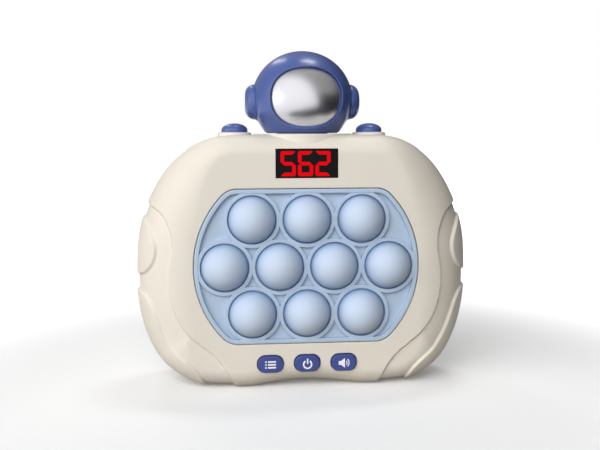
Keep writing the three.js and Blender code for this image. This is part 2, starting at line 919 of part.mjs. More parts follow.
function grille() {
  const slots = [];
  for (let i = 0; i < grilleSlots; i++) {
    const x = (i - (grilleSlots - 1) / 2) * grillePitch;
    const height = 2 * Math.sqrt(grilleRadius ** 2 - x ** 2);
    const outline = roundedRectangle(
      grilleSlotWidth,
      height,
      grilleSlotWidth / 2,
      x,
      speakerCentre,
    );
    slots.push(prism(outline, innerRear - overrun, rearFace + overrun));
  }
  return joined(slots);
}

// Screws and what takes them
const caseScrewPlaces = caseScrewShares.flatMap(([across, up]) =>
  [-1, 1].map((side) => [side * across * bodyHalfWidth, up * bodyRidge]),
);
const caseScrewSeat = wellDepth + wellSeat;

// A screw whose head faces the rear, its seat at Y = 0
function screw(shank) {
  return turned(
    [
      [0, screwHead],
      [screwHeadRadius, screwHead],
      [screwHeadRadius, seatGap],
      [screwShankRadius, seatGap],
      [screwShankRadius, -shank],
      [0, -shank],
    ],
    screwSegments,
  );
}

function pilot(depth) {
  return rod(screwShankRadius + seatGap, depth, overrun + bodyHalfDepth, screwSegments);
}

// Casings
function cavity() {
  return pillow(wall, cavitySteps, cavityRoundSteps);
}

function headHoles() {
  const bottom = bodyRidge - wall - overrun;
  const neckHole = rod(spigotRadius + fitGap, bottom, neckTop + overrun, roundSegments, "z");
  const buttonHoles = topButtonCentres.map((x) =>
    rod(topButtonRadius + fitGap, bottom, collarTop + overrun, topButtonSegments, "z").translate([x, 0, 0]),
  );
  return joined([neckHole, ...buttonHoles]);
}

// Room under the collars, so that the buttons' flanges clear the casing
function buttonWells() {
  const radius = topButtonFlangeRadius + fitGap;
  return joined(
    topButtonCentres.map((x) =>
      rod(radius, collarInside - collarHeight, collarInside, topButtonSegments, "z").translate([x, 0, 0]),
    ),
  );
}

function halfSpace(side) {
  const reach = 2 * (bodyHalfWidth + bodyRidge);
  const near = (side * seamGap) / 2;
  const [from, to] = side < 0 ? [-reach, near] : [near, reach];
  return block([-reach, from, -reach], [reach, to, reach]);
}

function frontShell(hollow) {
  let shell = hollow.intersect(halfSpace(-1));
  const inside = pillow(wall / 2, cavitySteps, cavityRoundSteps);
  const bosses = caseScrewPlaces.map(([x, z]) =>
    rod(bossRadius, frontFace, wellDepth - seatGap, postSegments).translate([x, 0, z]),
  );
  const posts = [-keyBoardPostX, keyBoardPostX].map((x) =>
    rod(keyBoardPostRadius, frontFace, keyBoardFront - seatGap, postSegments).translate([x, 0, keyCentre]),
  );
  shell = shell.add(joined([...bosses, ...posts]).intersect(inside));
  caseScrewPlaces.forEach(([x, z]) => {
    shell = shell.subtract(pilot(caseScrewSeat - screwShank - fitGap).translate([x, 0, z]));
  });
  shell = shell.subtract(prism(panelOutline(fitGap), frontFace - overrun, innerFront + overrun));
  const screen = [
    [-1, -1],
    [1, -1],
    [1, 1],
    [-1, 1],
  ].map(
    ([sx, sz]) =>
      new THREE.Vector2(
        sx * (displayWidth / 2 + seatGap),
        displayCentre + sz * (displayHeight / 2 + seatGap),
      ),
  );
  shell = shell.subtract(prism(screen, frontFace - overrun, innerFront + overrun));
  keyCentres.forEach((x) => {
    const hole = roundedRectangle(
      keyWidth + 2 * fitGap,
      keyHeight + 2 * fitGap,
      keyCorner + fitGap,
      x,
      keyCentre,
    );
    shell = shell.subtract(prism(hole, frontFace - overrun, innerFront + overrun));
  });
  return shell;
}

function rearShell(hollow) {
  let shell = hollow.intersect(halfSpace(1));
  const inside = pillow(wall / 2, cavitySteps, cavityRoundSteps);
  const wells = caseScrewPlaces.map(([x, z]) =>
    rod(wellRadius, wellDepth, rearFace, postSegments).translate([x, 0, z]),
  );
  const seatRadius = speakerRadius + fitGap;
  const ringFoot = innerRear - speakerRingDepth;
  const ring = rod(seatRadius + speakerRing, ringFoot, innerRear + wall / 2, roundSegments)
    .subtract(rod(seatRadius, ringFoot - overrun, innerRear, roundSegments))
    .translate([0, 0, speakerCentre]);
  const doorBoss = rod(
    doorBossRadius,
    doorSeat - doorScrewShank,
    doorSeat,
    postSegments,
  ).translate([0, 0, doorScrewZ]);
  const shelf = prism(doorOutline(boxWall / 2), doorSeat - boxFloor, innerRear + wall / 2);
  shell = shell.add(joined([...wells, batteryBox(), shelf, doorBoss]).intersect(inside)).add(ring);
  caseScrewPlaces.forEach(([x, z]) => {
    const bore = rod(screwShankRadius + seatGap, wellDepth - overrun, rearFace, screwSegments);
    const well = rod(screwHeadRadius + fitGap, caseScrewSeat, rearFace + overrun, screwSegments);
    shell = shell.subtract(bore.add(well).translate([x, 0, z]));
  });
  const room = block(
    [-boxHalfLength, boxBottom, boxCentre - boxHalfHeight],
    [boxHalfLength, rearFace + overrun, boxCentre + boxHalfHeight],
  );
  shell = shell.subtract(room).subtract(prism(doorOutline(fitGap), doorSeat, rearFace + overrun));
  const pilotEnd = doorSeat - doorScrewShank + fitGap;
  const doorPilot = rod(screwShankRadius + seatGap, pilotEnd, rearFace, screwSegments);
  return shell.subtract(doorPilot.translate([0, 0, doorScrewZ])).subtract(grille());
}

// Helmet
function ellipsoid(shrink, segments, rings) {
  const geometry = new THREE.SphereGeometry(1, segments, rings);
  geometry.rotateX(Math.PI / 2);
  geometry.scale(helmetHalfWidth - shrink, helmetHalfDepth - shrink, helmetHalfHeight - shrink);
  geometry.translate(0, 0, helmetCentre);
  return solidOf(geometry);
}

function visorOutline(offset) {
  return Array.from({ length: visorSegments }, (_, i) => {
    const angle = (i / visorSegments) * 2 * Math.PI;
    return new THREE.Vector2(
      (visorHalfWidth + offset) * Math.cos(angle),
      visorCentre + (visorHalfHeight + offset) * Math.sin(angle),
    );
  });
}

function helmetHalf(side) {
  const reach = helmetHalfWidth + helmetHalfDepth;
  const below = block([-reach, -reach, -reach], [reach, reach, helmetBase]);
  const skin = ellipsoid(0, helmetSegments, helmetRings);
  const inside = ellipsoid(helmetWall, helmetSegments, helmetRings);
  const spigotTop = helmetBase + helmetWall;
  const flangeTop = bodyRidge - wall - fitGap;
  const spigot = turned(
    [
      [spigotRadius - spigotWall, spigotTop],
      [spigotRadius, spigotTop],
      [spigotRadius, flangeTop],
      [spigotFlangeRadius, flangeTop],
      [spigotFlangeRadius, flangeTop - spigotFlange],
      [spigotRadius - spigotWall, flangeTop - spigotFlange],
      [spigotRadius - spigotWall, spigotTop],
    ],
    roundSegments,
    "z",
  );
  const floorLow = block([-reach, -reach, helmetBase], [reach, reach, spigotTop]);
  const bore = rod(spigotRadius - spigotWall, helmetBase - overrun, spigotTop + overrun, roundSegments, "z");
  const base = skin.intersect(floorLow).subtract(bore);
  const shell = skin.subtract(inside).subtract(below).add(base).add(spigot);
  const opening = prism(visorOutline(0), -reach, 0);
  return shell.subtract(opening).intersect(halfSpace(side));
}

function visor() {
  const outer = ellipsoid(helmetWall + fitGap, helmetSegments, helmetRings);
  const inner = ellipsoid(helmetWall + fitGap + visorThickness, helmetSegments, helmetRings);
  const reach = helmetHalfDepth + overrun;
  return outer.subtract(inner).intersect(prism(visorOutline(visorLap), -reach, -helmetHalfDepth / 3));
}

function earCap(side) {
  const tip = earTip - earFillet;
  const corner = Array.from({ length: domeSteps + 1 }, (_, i) => {
    const angle = (i / domeSteps) * (Math.PI / 2);
    return [earRadius - earFillet + earFillet * Math.cos(angle), tip + earFillet * Math.sin(angle)];
  });
  const cap = turned([[0, earRoot], [earRadius, earRoot], ...corner, [0, earTip]], topButtonSegments, "x");
  const placed = cap.translate([0, 0, earCentre]).subtract(ellipsoid(-fitGap, helmetSegments, helmetRings));
  return side < 0 ? placed.mirror([1, 0, 0]) : placed;
}

// Materials
const material = (color, roughness, metalness = 0) =>
  new THREE.MeshStandardMaterial({ color, roughness, metalness });
const cream = material("#e6dfd2", 0.5);
const paleBlue = material("#aec5df", 0.55);
const silicone = material("#b9cde3", 0.6);
const navy = material("#3f4f94", 0.3);
const chrome = material("#d8d9dc", 0.12, 1);
const smoked = material("#0c0c0e", 0.15);
const milky = material("#eef1f4", 0.5);
const boardGreen = material("#1f6b3f", 0.55);
const switchBlack = material("#1b1c1e", 0.5);
const steel = material("#b8babd", 0.3, 1);
const cellJacket = material("#4b5157", 0.35, 0.4);
const speakerGrey = material("#3a3b3e", 0.5);

const game = new THREE.Group();

function place(name, shape, look, position = [0, 0, 0]) {
  const mesh = new THREE.Mesh(geometryOf(shape), look);
  mesh.name = name;
  mesh.position.set(...position);
  mesh.position.y += seamPlace;
  game.add(mesh);
}

const hollowBody = bodyBlank().subtract(cavity()).subtract(headHoles()).subtract(buttonWells());
place("front_shell", frontShell(hollowBody), cream);
place("rear_shell", rearShell(hollowBody), cream);
caseScrewPlaces.forEach(([x, z], i) => {
  place(`case_screw_${i + 1}`, screw(screwShank), steel, [x, caseScrewSeat, z]);
});

place("bubble_panel", bubblePanel(), paleBlue);
bubblePlaces.forEach(([x, z], i) => {
  place(`bubble_${i + 1}`, bubble(), silicone, [x, 0, z]);
  place(`plunger_${i + 1}`, plunger(), milky, [x, 0, z]);
  place(`tact_switch_${i + 1}`, tactSwitch(switchStem), switchBlack, [x, boardFront - seatGap, z]);
});
place("main_board", mainBoard(), boardGreen);

place("display_window", displayWindow(), smoked);
place("display_module", displayModule(), switchBlack);

["menu_button", "power_button", "volume_button"].forEach((name, i) => {
  place(name, keyCap(), navy, [keyCentres[i], 0, keyCentre]);
});
place("key_board", keyBoard(), boardGreen);

["top_button_left", "top_button_right"].forEach((name, i) => {
  place(name, topButton(), navy, [topButtonCentres[i], 0, 0]);
});

place("helmet_front", helmetHalf(-1), navy);
place("helmet_rear", helmetHalf(1), navy);
place("visor", visor(), chrome);
place("ear_cap_left", earCap(-1), navy);
place("ear_cap_right", earCap(1), navy);

cellCentres.forEach((z, i) => {
  place(`battery_${i + 1}`, cell(), cellJacket, [0, boxBottom + fitGap + cellRadius, z]);
});
place("contact_left", contactStrip(-1), steel);
place("contact_right", contactStrip(1), steel);
place("battery_door", batteryDoor(), cream);
place("battery_door_screw", screw(doorScrewShank), steel, [0, doorScrewSeat, doorScrewZ]);
place("speaker", speaker(), speakerGrey, [0, 0, speakerCentre]);

export default game;
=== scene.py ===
"""Looks of the quick push game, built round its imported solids.

Shapes are worked out in millimetres, with Y = 0 on the seam between the two casings, and placed in metres.
"""

import math

import bpy
import numpy as np
from mathutils import Matrix, Vector


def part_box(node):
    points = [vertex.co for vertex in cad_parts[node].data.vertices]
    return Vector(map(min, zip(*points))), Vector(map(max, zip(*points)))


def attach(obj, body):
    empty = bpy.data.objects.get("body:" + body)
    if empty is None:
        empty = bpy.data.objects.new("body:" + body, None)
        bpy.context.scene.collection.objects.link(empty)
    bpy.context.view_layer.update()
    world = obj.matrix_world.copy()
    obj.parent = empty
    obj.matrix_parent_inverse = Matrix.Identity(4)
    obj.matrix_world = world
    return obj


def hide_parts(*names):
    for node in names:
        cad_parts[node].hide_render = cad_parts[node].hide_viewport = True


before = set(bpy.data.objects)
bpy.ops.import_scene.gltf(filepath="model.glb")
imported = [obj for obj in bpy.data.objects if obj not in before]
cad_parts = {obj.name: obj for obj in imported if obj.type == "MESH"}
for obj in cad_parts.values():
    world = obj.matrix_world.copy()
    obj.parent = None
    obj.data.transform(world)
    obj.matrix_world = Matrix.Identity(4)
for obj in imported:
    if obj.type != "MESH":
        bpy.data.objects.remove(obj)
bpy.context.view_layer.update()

MM = 0.001
SEAM_GAP = 0.3
SEAM_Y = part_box("rear_shell")[0].y / MM - SEAM_GAP / 2  # the seam's place in the frame

BUBBLES = [f"bubble_{k}" for k in range(1, 11)]
KEYS = ("menu_button", "power_button", "volume_button")
SHOULDER_BUTTONS = ("top_button_left", "top_button_right")
CASE_SCREWS = [f"case_screw_{k}" for k in range(1, 5)]

# Camera of the photograph, found from the bubble grid and the casing's outline
CAMERA_LENS = 50.0
CAMERA_SENSOR = 36.0
CAMERA_PLACE = (-36.595, -377.951, 111.557)
CAMERA_YAW = 5.3755
CAMERA_PITCH = 6.1852
CAMERA_ROLL = -0.161

# Casing
HALF_WIDTH = 75.0
RIDGE = 111.8
HALF_DEPTH = 22.0
FLANK_ROUND = 24.4
FLANK_LAND = 1.0
TOP_ROUND = 8.5
BOTTOM_ROUND = 9.0
END_ROUND_DEPTH = 10.0
BLEND_POWER = 3
WALL = 2.2
RELIEF = 1.1
STEP_SOFTNESS = 0.7
PAD_SOFTNESS = 1.0
OUTLINE_SHARES = (
    (0, 1), (0.293, 0.998), (0.507, 0.992), (0.652, 0.957), (0.787, 0.8855), (0.888, 0.79),
    (0.951, 0.693), (0.988, 0.597), (1, 0.474), (1, 0.376), (0.987, 0.301), (0.948, 0.201),
    (0.88, 0.1145), (0.787, 0.059), (0.667, 0.0197), (0.593, 0.007), (0.427, -0.0013),
    (0.32, -0.001), (0.16, 0.0152), (0, 0.0242),
)
GRIP_STEP_SHARES = (
    (1.2, 0.756), (0.947, 0.736), (0.88, 0.7155), (0.831, 0.69), (0.799, 0.6485), (0.779, 0.599),
    (0.779, 0.5456), (0.796, 0.4785), (0.8, 0.4114), (0.783, 0.34), (0.744, 0.2728), (0.687, 0.2227),
    (0.611, 0.178), (0.537, 0.1369), (0.485, 0.093), (0.451, 0.051), (0.429, 0.009), (0.42, -0.045),
)
UPPER_PAD_SHARES = (
    (1.2, 0.706), (0.975, 0.69), (0.941, 0.668), (0.905, 0.625), (0.877, 0.568), (0.889, 0.515),
    (0.924, 0.477), (0.972, 0.4535), (1.2, 0.43),
)
LOWER_PAD_SHARES = (
    (1.2, 0.4), (1, 0.3865), (0.953, 0.3757), (0.924, 0.354), (0.895, 0.3157), (0.869, 0.268),
    (0.84, 0.22), (0.797, 0.1717), (0.751, 0.1369), (0.693, 0.1055), (0.644, 0.0716),
    (0.612, 0.0358), (0.597, 0.0045), (0.593, -0.045),
)
STATIONS = 1100
FLANK_ROWS = 84
LAND_ROWS = 6
FACE_ROWS = 26
INNER_ROWS = 6
OUTLINE_EVENING = 2.4  # small ripples of the outline are evened out over this length
LIP_SETBACK = 1.15
LIP_DEPTH = 1.6
FIT = 0.3
OVERRUN = 2.0  # how far a cutter passes what it cuts
ROUND_END = 0.01  # a slot's corner is half its width less this, so that no two points of it meet
FACE_CUT = 17.0  # from the seam to where cutters through a face end
RIB_END = HALF_DEPTH - WALL / 2  # ribs and bosses end inside the wall
HOLE_EDGE_ROWS = ((0.5, 0.0), (0.15, 0.1), (0.0, 0.4), (0.0, WALL))  # clearance beyond the fit, and depth
SHARP_ANGLE = 38  # in degrees; edges that are less sharp are shaded smooth

# Screws of the casing, from the seam along Y
BOSS_RADIUS = 3.4
BOSS_REACH = 3.8
BOSS_INSET = 1.2  # how deep bosses and wells sink into the skin
SCREW_BORE = 1.6
PILOT_ENDS = (-5.3, 6.0)
WELL_RADIUS = 4.6
WELL_ENDS = (4.0, 21.0)
SCREW_MOUTH = ((0, 6.0), (3.0, 6.0), (3.0, 21.6), (3.4, 22.05), (3.4, 26.0), (0, 26.0))

# Panel
PANEL_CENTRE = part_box("bubble_panel")[0].z / MM / 2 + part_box("bubble_panel")[1].z / MM / 2
PANEL_HALF_WIDTH = 48.9
PANEL_HALF_HEIGHT = 33.7
PANEL_SIDE_RADIUS = 45.0
PANEL_CORNER_RADIUS = 9.0
PANEL_RIM = 1.9
PANEL_FLANGE = 1.6
FLANGE_FACE = -19.6
RIM_FACE = -22.5
RIM_EDGE = 0.45
FLOOR_FACE = -20.4
PANEL_BACK = -18.7
RING_FACE = -22.3
RING_BORE = 10.6
RING_WALL = 1.7
RING_EDGE = 0.24
RING_FILLET = 0.08
BORE_END = -15.0

# Bubbles
BUBBLE_RADIUS = 10.0
BUBBLE_RISE = 7.2
BUBBLE_WALL = 1.3
BUBBLE_FLANGE_RADIUS = 11.5
BUBBLE_FOOT_RADIUS = 10.42
BUBBLE_FOOT = -21.5
BUBBLE_FLANGE = (-18.4, -17.2)

# Display and keys
DISPLAY_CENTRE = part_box("display_window")[0].z / MM / 2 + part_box("display_window")[1].z / MM / 2
DISPLAY_SIZE = (26.9, 12.5)
DISPLAY_FIT = 0.1
DISPLAY_FACE = -21.8
DISPLAY_BACK = -18.5
DISPLAY_CORNER = 0.35
DISPLAY_EDGE = 0.15
SCORE = "562"
DIGIT_SIZE = (6.55, 10.7)
DIGIT_PITCH = 7.5
DIGIT_STROKE = 1.55
DIGIT_SHIFT = (-0.6, -0.1)
DIGIT_GAP = 0.12  # from a segment's end to its neighbour
DIGIT_TRIM = 0.35  # cut off the outer corners
DIGIT_DROP = 0.25  # how much shorter the upright bars are at their outer end
DIGIT_PROUD = 0.04
KEY_SIZE = (11.1, 7.4)
KEY_CORNER = 3.3
KEY_FACE = -22.9
KEY_BACK = -18.1
KEY_EDGE = 0.7
KEY_LAND = 1.1  # width of the first flat ring inside the rounded edge
KEY_HOLE_EDGE = 0.45
MARK_PROUD = 0.03
MARK_SUNK = 0.1

# Neck, collars and shoulder buttons
NECK_TOP = 112.0
NECK_DEPTH_SHARE = 0.88  # of its width
NECK_FLARE = ((24.6, 100.0), (24.2, 104.5), (23.4, 108.0), (22.7, 110.6))  # radius and height
NECK_EDGE = 1.0
NECK_BORE = (11.8, 90.0)  # radius and floor
COLLAR_TOP = 112.7
COLLAR_RADIUS = 7.55
COLLAR_FLARE = ((1.4, 104.0), (0.7, 109.5), (0.0, 111.4))  # wider than the top by, and height
COLLAR_EDGE = 0.9
BUTTON_RADIUS = 5.85
BUTTON_TOP = 116.7
BUTTON_DOME = 3.0
BUTTON_FOOT = ((BUTTON_RADIUS, 108.7), (7.2, 108.7), (7.2, 107.4), (2.0, 107.4), (2.0, 106.0), (0, 106.0))
BUTTON_WELL = (7.5, 100.0, 109.3)  # radius, floor and roof
TOP_CUT = 116.0  # cutters from above start here

# Helmet
HELMET_CENTRE = 127.0
HELMET_RADII = (22.6, 23.6, 21.7)
HELMET_BASE = 112.3
HELMET_BASE_RADIUS = 16.3
HELMET_CONE_TOP = 119.5
HELMET_WALL = 1.6
HELMET_BASE_EDGE = (0.5, 0.4)
HELMET_SPIGOT = ((11.5, HELMET_BASE), (11.5, 109.3), (12.9, 109.3), (12.9, 108.1), (9.7, 108.1))
HELMET_BLEND = 0.35  # softness of the bend between ball and cone
HELMET_CONE_WIDER = 0.2  # makes up for what the blend takes off the cone
VISOR_CENTRE = (0.4, 127.5)
VISOR_HALF = (15.6, 12.9)
VISOR_POWER = 2.25
VISOR_SET = 1.0
VISOR_LIP = 0.7
VISOR_THICKNESS = 1.4
VISOR_OVERLAP = 0.9  # behind the lip
VISOR_FRONT_ROWS = (*np.linspace(0.02, 0.96, 26), 1.0)  # shares of the way from the middle to the edge
VISOR_BACK_ROWS = (1.0, 0.6, 0.3, 0.02)
VISOR_CUT_ABOVE = 0.6  # how far the cutter stands over the ball at the lip
VISOR_CUT_END = -5.0
EAR_CENTRE = 126.2
EAR_RADIUS = 7.8
EAR_ROOT = 19.0
EAR_TIP = 25.6
EAR_ROUND = 4.2
EAR_FOOT = ((1.0, 0.0), (0.8, 0.9), (0.35, 1.7))  # wider than the disc by, and height over its root
EAR_SEAT_GAP = 0.1

# Studio, in metres

# The room's light as it falls on matt skins, and as glossy skins mirror it: away from the softbox and in it,
# then the softbox's way and edge, and the way, edge and light of a fill for the rear or of a darker side
ROOMS = (
    (0.04, 2.3, (-0.57, -0.82, 0.1), (0.5, 0.72), "ADD", (0.1, 1.0, 0.2), (0.6, 0.9), 0.8),
    (0.3, 1.08, (-0.6, -0.8, -0.1), (0.24, 0.56), "SUBTRACT", (0.72, 0.68, -0.1), (0.4, 0.85), 0.255),
)
SIDE_CARD = ((0.36, 0.3), (0.36, 0.0), (0.3, -0.16), (0.18, -0.28))
SIDE_CARD_ENDS = (0.001, 0.19)
FRONT_CARD = (
    (-0.11, -0.086), (-0.11, -0.17), (0.12, -0.33), (0.36, -0.33),
    (0.36, 0.1), (0.21, 0.06), (0.135, -0.06), (0.11, -0.086),
)
FRONT_CARD_LIFT = 0.00003
GROUND_LIFT = (0.09, 0.13, 0.34)  # glow near the object, and between which distances it rises to white
GROUND_BOUNCE = "#958D80"
GROUND_HALF = 6.0
LAMP_AIM = (0, 0, 0.07)
LAMPS = (  # name, place, size, power in watts, and whether glossy skins mirror the lamp
    ("front_lamp", (-0.3, -0.7, 0.5), (0.5, 0.35), 1.85, False),
    ("left_lamp", (-1.05, -0.35, 0.18), (0.5, 0.4), 0.68, True),
    ("top_left_lamp", (-0.29, 0.66, 0.82), (0.1, 0.4), 0.6, True),
    ("top_lamp", (0.17, 0.22, 1.0), (0.28, 0.09), 1.35, True),
)

# Rear, from the seam along Y
DOOR_LOW, DOOR_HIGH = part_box("battery_door")
DOOR_CENTRE = (0.0, (DOOR_LOW.z + DOOR_HIGH.z) / 2 / MM)
DOOR_SIZE = ((DOOR_HIGH.x - DOOR_LOW.x) / MM, (DOOR_HIGH.z - DOOR_LOW.z) / MM)
DOOR_FACE = HALF_DEPTH
DOOR_BACK = 19.6
DOOR_SEAT = 19.3
DOOR_CORNER = 3.0
DOOR_EDGE = 0.5
DOOR_HOLE_EDGE_ROWS = ((0.3, 0.0), (0.08, 0.08), (0.0, 0.3), (0.0, WALL))
DOOR_SHELF = (1.5, 17.7)  # wider than the door by, and its front
DOOR_BOSS = (3.2, 12.3)  # radius and front
DOOR_PILOT_END = 12.6
DOOR_SCREW_POCKET = ((0, 20.2), (3.0, 20.2), (3.0, 21.7), (3.3, 22.05), (3.3, 24.0), (0, 24.0))
DOOR_SCREW_HOLE = (1.7, 18.0, 21.0)  # radius and both ends
GROOVES = 4
GROOVE_SIZE = (14.0, 1.1)
GROOVE_PITCH = 3.0
GROOVE_DROP = 12.5  # from the door's top to the first one
GROOVE_DEPTH = 0.5
GROOVE_EDGE = 0.2
CELL_ROOM_HALF = 24.55
CELL_GAP = 0.6
CELL_BOX_WALL = 3.0
CELL_BOX_FLOOR = 1.6
SPEAKER_CENTRE = 85.5
SPEAKER_RING = (15.3, 13.8, 16.2)  # radius, bore and front
SLOTS = 5
SLOT_WIDTH = 1.6
SLOT_PITCH = 3.6
SLOT_EDGE = 0.3
GRILLE_RADIUS = 10.5
SHANK_RADIUS = 1.4
SHANK_TIP = (0.9, 1.2)  # radius and length
HEAD_HEIGHT = 1.2
HEAD_ROUND_ROWS = ((0.0, 0.5), (0.5, 0.1), (1.2, 0.0))  # in from the rim, and down from the head's top
CROSS_ARM = (1.5, 0.3, 0.8)  # half length, half width and depth
CELL_LEFT = ((0, 0.0), (4.2, 0.0), (4.6, 0.25), (5.0, 0.3), (5.25, 0.7))  # radius, and place from the end
CELL_RIGHT = ((5.25, 1.4), (5.0, 1.0), (2.2, 0.9), (1.9, 0.8), (1.9, 0.15), (1.7, 0.0), (0, 0.0))


# Curves and outlines

def spline(shares, closed, per_span=24, power=0.25):
    """A smooth curve through the points of a table of shares of the casing's half width and ridge."""
    points = np.array(shares, float) * (HALF_WIDTH, RIDGE)
    count = len(points)
    spans = count if closed else count - 1
    pieces = []
    for i in range(spans):
        b, c = points[i % count], points[(i + 1) % count]
        a = points[i - 1] if closed or i > 0 else 2 * b - c
        d = points[(i + 2) % count] if closed or i < count - 2 else 2 * c - b
        gaps = [max(float(np.sum((q - p) ** 2)), 1e-9) ** power for p, q in ((a, b), (b, c), (c, d))]
        start = ((b - a) / gaps[0] - (c - a) / (gaps[0] + gaps[1]) + (c - b) / gaps[1]) * gaps[1]
        end = ((c - b) / gaps[1] - (d - b) / (gaps[1] + gaps[2]) + (d - c) / gaps[2]) * gaps[1]
        t = np.linspace(0, 1, per_span, endpoint=False)[:, None]
        pieces.append(
            (2 * t**3 - 3 * t**2 + 1) * b + (t**3 - 2 * t**2 + t) * start
            + (3 * t**2 - 2 * t**3) * c + (t**3 - t**2) * end
        )
    if not closed:
        pieces.append(points[-1:])
    return np.vstack(pieces)


def evenly(points, count):
    """Points spaced evenly round a closed curve."""
    loop = np.vstack([points, points[:1]])
    along = np.concatenate([[0], np.cumsum(np.linalg.norm(np.diff(loop, axis=0), axis=1))])
    wanted = np.linspace(0, along[-1], count, endpoint=False)
    return np.stack([np.interp(wanted, along, loop[:, k]) for k in (0, 1)], axis=1), along[-1]


def casing_stations():
    """Points round the casing's outline with their outward normals, clockwise from the top."""
    right = list(OUTLINE_SHARES)
    left = [(-x, z) for x, z in right[-2:0:-1]]
    points, length = evenly(spline(right + left, True), STATIONS)
    steps = np.fft.fftfreq(STATIONS, d=length / STATIONS)
    fade = np.exp(-2 * (math.pi * steps * OUTLINE_EVENING) ** 2)[:, None]
    points = np.fft.ifft(np.fft.fft(points, axis=0) * fade, axis=0).real
    points[:, 0] *= HALF_WIDTH / np.max(points[:, 0])
    tangent = np.roll(points, -1, axis=0) - np.roll(points, 1, axis=0)
    tangent /= np.linalg.norm(tangent, axis=1)[:, None]
    return points, np.stack([-tangent[:, 1], tangent[:, 0]], axis=1)


def barrel(offset, angles):
    """The panel's barrel outline, grown by offset, met by rays from its middle at these angles."""
    radius = PANEL_SIDE_RADIUS + offset
    corner = PANEL_CORNER_RADIUS + offset
    high = PANEL_HALF_HEIGHT + offset
    side_x = PANEL_HALF_WIDTH - PANEL_SIDE_RADIUS
    corner_x = side_x + math.sqrt((radius - corner) ** 2 - (high - corner) ** 2)
    meet = math.atan2(high - corner, corner_x - side_x)
    side = np.linspace(0, meet, 160)
    bend = np.linspace(meet, math.pi / 2, 80)[1:]
    top = np.linspace(corner_x, 0, 80)[1:]
    quarter = np.vstack([
        np.stack([side_x + radius * np.cos(side), radius * np.sin(side)], axis=1),
        np.stack([corner_x + corner * np.cos(bend), high - corner + corner * np.sin(bend)], axis=1),
        np.stack([top, np.full_like(top, high)], axis=1),
    ])
    around = np.arctan2(quarter[:, 1], quarter[:, 0])
    reach = np.linalg.norm(quarter, axis=1)
    folded = np.arctan2(np.abs(np.sin(angles)), np.abs(np.cos(angles)))
    length = np.interp(folded, around, reach)
    return np.stack([length * np.cos(angles), PANEL_CENTRE + length * np.sin(angles)], axis=1)


def rounded_rectangle(width, height, corner, centre=(0.0, 0.0), steps=10, grow=0.0):
    width, height, corner = width + 2 * grow, height + 2 * grow, corner + grow
    points = []
    for k, (sx, sz) in enumerate(((1, 1), (-1, 1), (-1, -1), (1, -1))):
        for i in range(steps + 1):
            angle = (k + i / steps) * math.pi / 2
            points.append((
                centre[0] + sx * (width / 2 - corner) + corner * math.cos(angle),
                centre[1] + sz * (height / 2 - corner) + corner * math.sin(angle),
            ))
    return np.array(points)


def ray_outline(outline, centre, angles):
    """Where rays from centre at these angles leave a closed outline that they cross once."""
    loop = evenly(outline, 1200)[0] - centre
    around = np.arctan2(loop[:, 1], loop[:, 0])
    order = np.argsort(around)
    around, reach = around[order], np.linalg.norm(loop, axis=1)[order]
    around = np.concatenate([around - 2 * math.pi, around, around + 2 * math.pi])
    length = np.interp(angles, around, np.tile(reach, 3))
    return np.stack([centre[0] + length * np.cos(angles), centre[1] + length * np.sin(angles)], axis=1)


def depth_inside(points, polygon):
    """Distance from each point to a closed polygon's edge, positive inside."""
    start = np.asarray(polygon)
    end = np.roll(start, -1, axis=0)
    result = np.empty(len(points))
    for low in range(0, len(points), 20000):
        chunk = points[low:low + 20000, None, :]
        along = end - start
        t = np.sum((chunk - start) * along, axis=2) / np.maximum(np.sum(along**2, axis=1), 1e-12)
        t = np.clip(t, 0, 1)
        near = np.min(np.linalg.norm(chunk - (start + t[..., None] * along), axis=2), axis=1)
        above = start[:, 1] > chunk[..., 1]
        crossing = above != (end[:, 1] > chunk[..., 1])
        rise = np.where(np.abs(along[:, 1]) < 1e-12, 1e-12, along[:, 1])
        at = start[:, 0] + (chunk[..., 1] - start[:, 1]) * along[:, 0] / rise
        inside = np.sum(crossing & (chunk[..., 0] < at), axis=1) % 2 == 1
        result[low:low + 20000] = np.where(inside, near, -near)
    return result


def smooth_step(values, width):
    t = np.clip(values / width + 0.5, 0, 1)
    return t * t * (3 - 2 * t)


# Meshes

def show(name, data):
    """Links an object that holds this mesh, lamp or camera to the scene."""
    made = bpy.data.objects.new(name, data)
    bpy.context.scene.collection.objects.link(made)
    return made


def new_object(name, vertices, faces):
    """An object from millimetre vertices, with its faces turned out."""
    mesh = bpy.data.meshes.new(name)
    placed = (np.asarray(vertices, float) + (0, SEAM_Y, 0)) * MM
    mesh.from_pydata(placed.tolist(), [], faces)
    mesh.update()
    if signed_volume(mesh) < 0:
        mesh.flip_normals()
    return show(name, mesh)


def signed_volume(mesh):
    mesh.calc_loop_triangles()
    corners = np.empty(len(mesh.loop_triangles) * 3, int)
    mesh.loop_triangles.foreach_get("vertices", corners)
    places = np.empty(len(mesh.vertices) * 3)
    mesh.vertices.foreach_get("co", places)
    a, b, c = places.reshape(-1, 3)[corners.reshape(-1, 3)].transpose(1, 0, 2)
    return float(np.sum(a * np.cross(b, c)))


def loft(name, rings, ring_closes=False):
    """A skin through rings of equally many points, capped at both ends or closed on itself."""
    count = len(rings[0])
    faces = []
    last = len(rings) if ring_closes else len(rings) - 1
    for k in range(last):
        low, high = k * count, ((k + 1) % len(rings)) * count
        faces += [(low + i, low + (i + 1) % count, high + (i + 1) % count, high + i) for i in range(count)]
    if not ring_closes:
        faces.append(tuple(range(count - 1, -1, -1)))
        faces.append(tuple(range(last * count, (last + 1) * count)))
    return new_object(name, np.vstack(rings), faces)


def flat_ring(outline, y):
    """An outline in X and Z set at one Y."""
    outline = np.asarray(outline)
    return np.stack([outline[:, 0], np.broadcast_to(y, len(outline)), outline[:, 1]], axis=1)


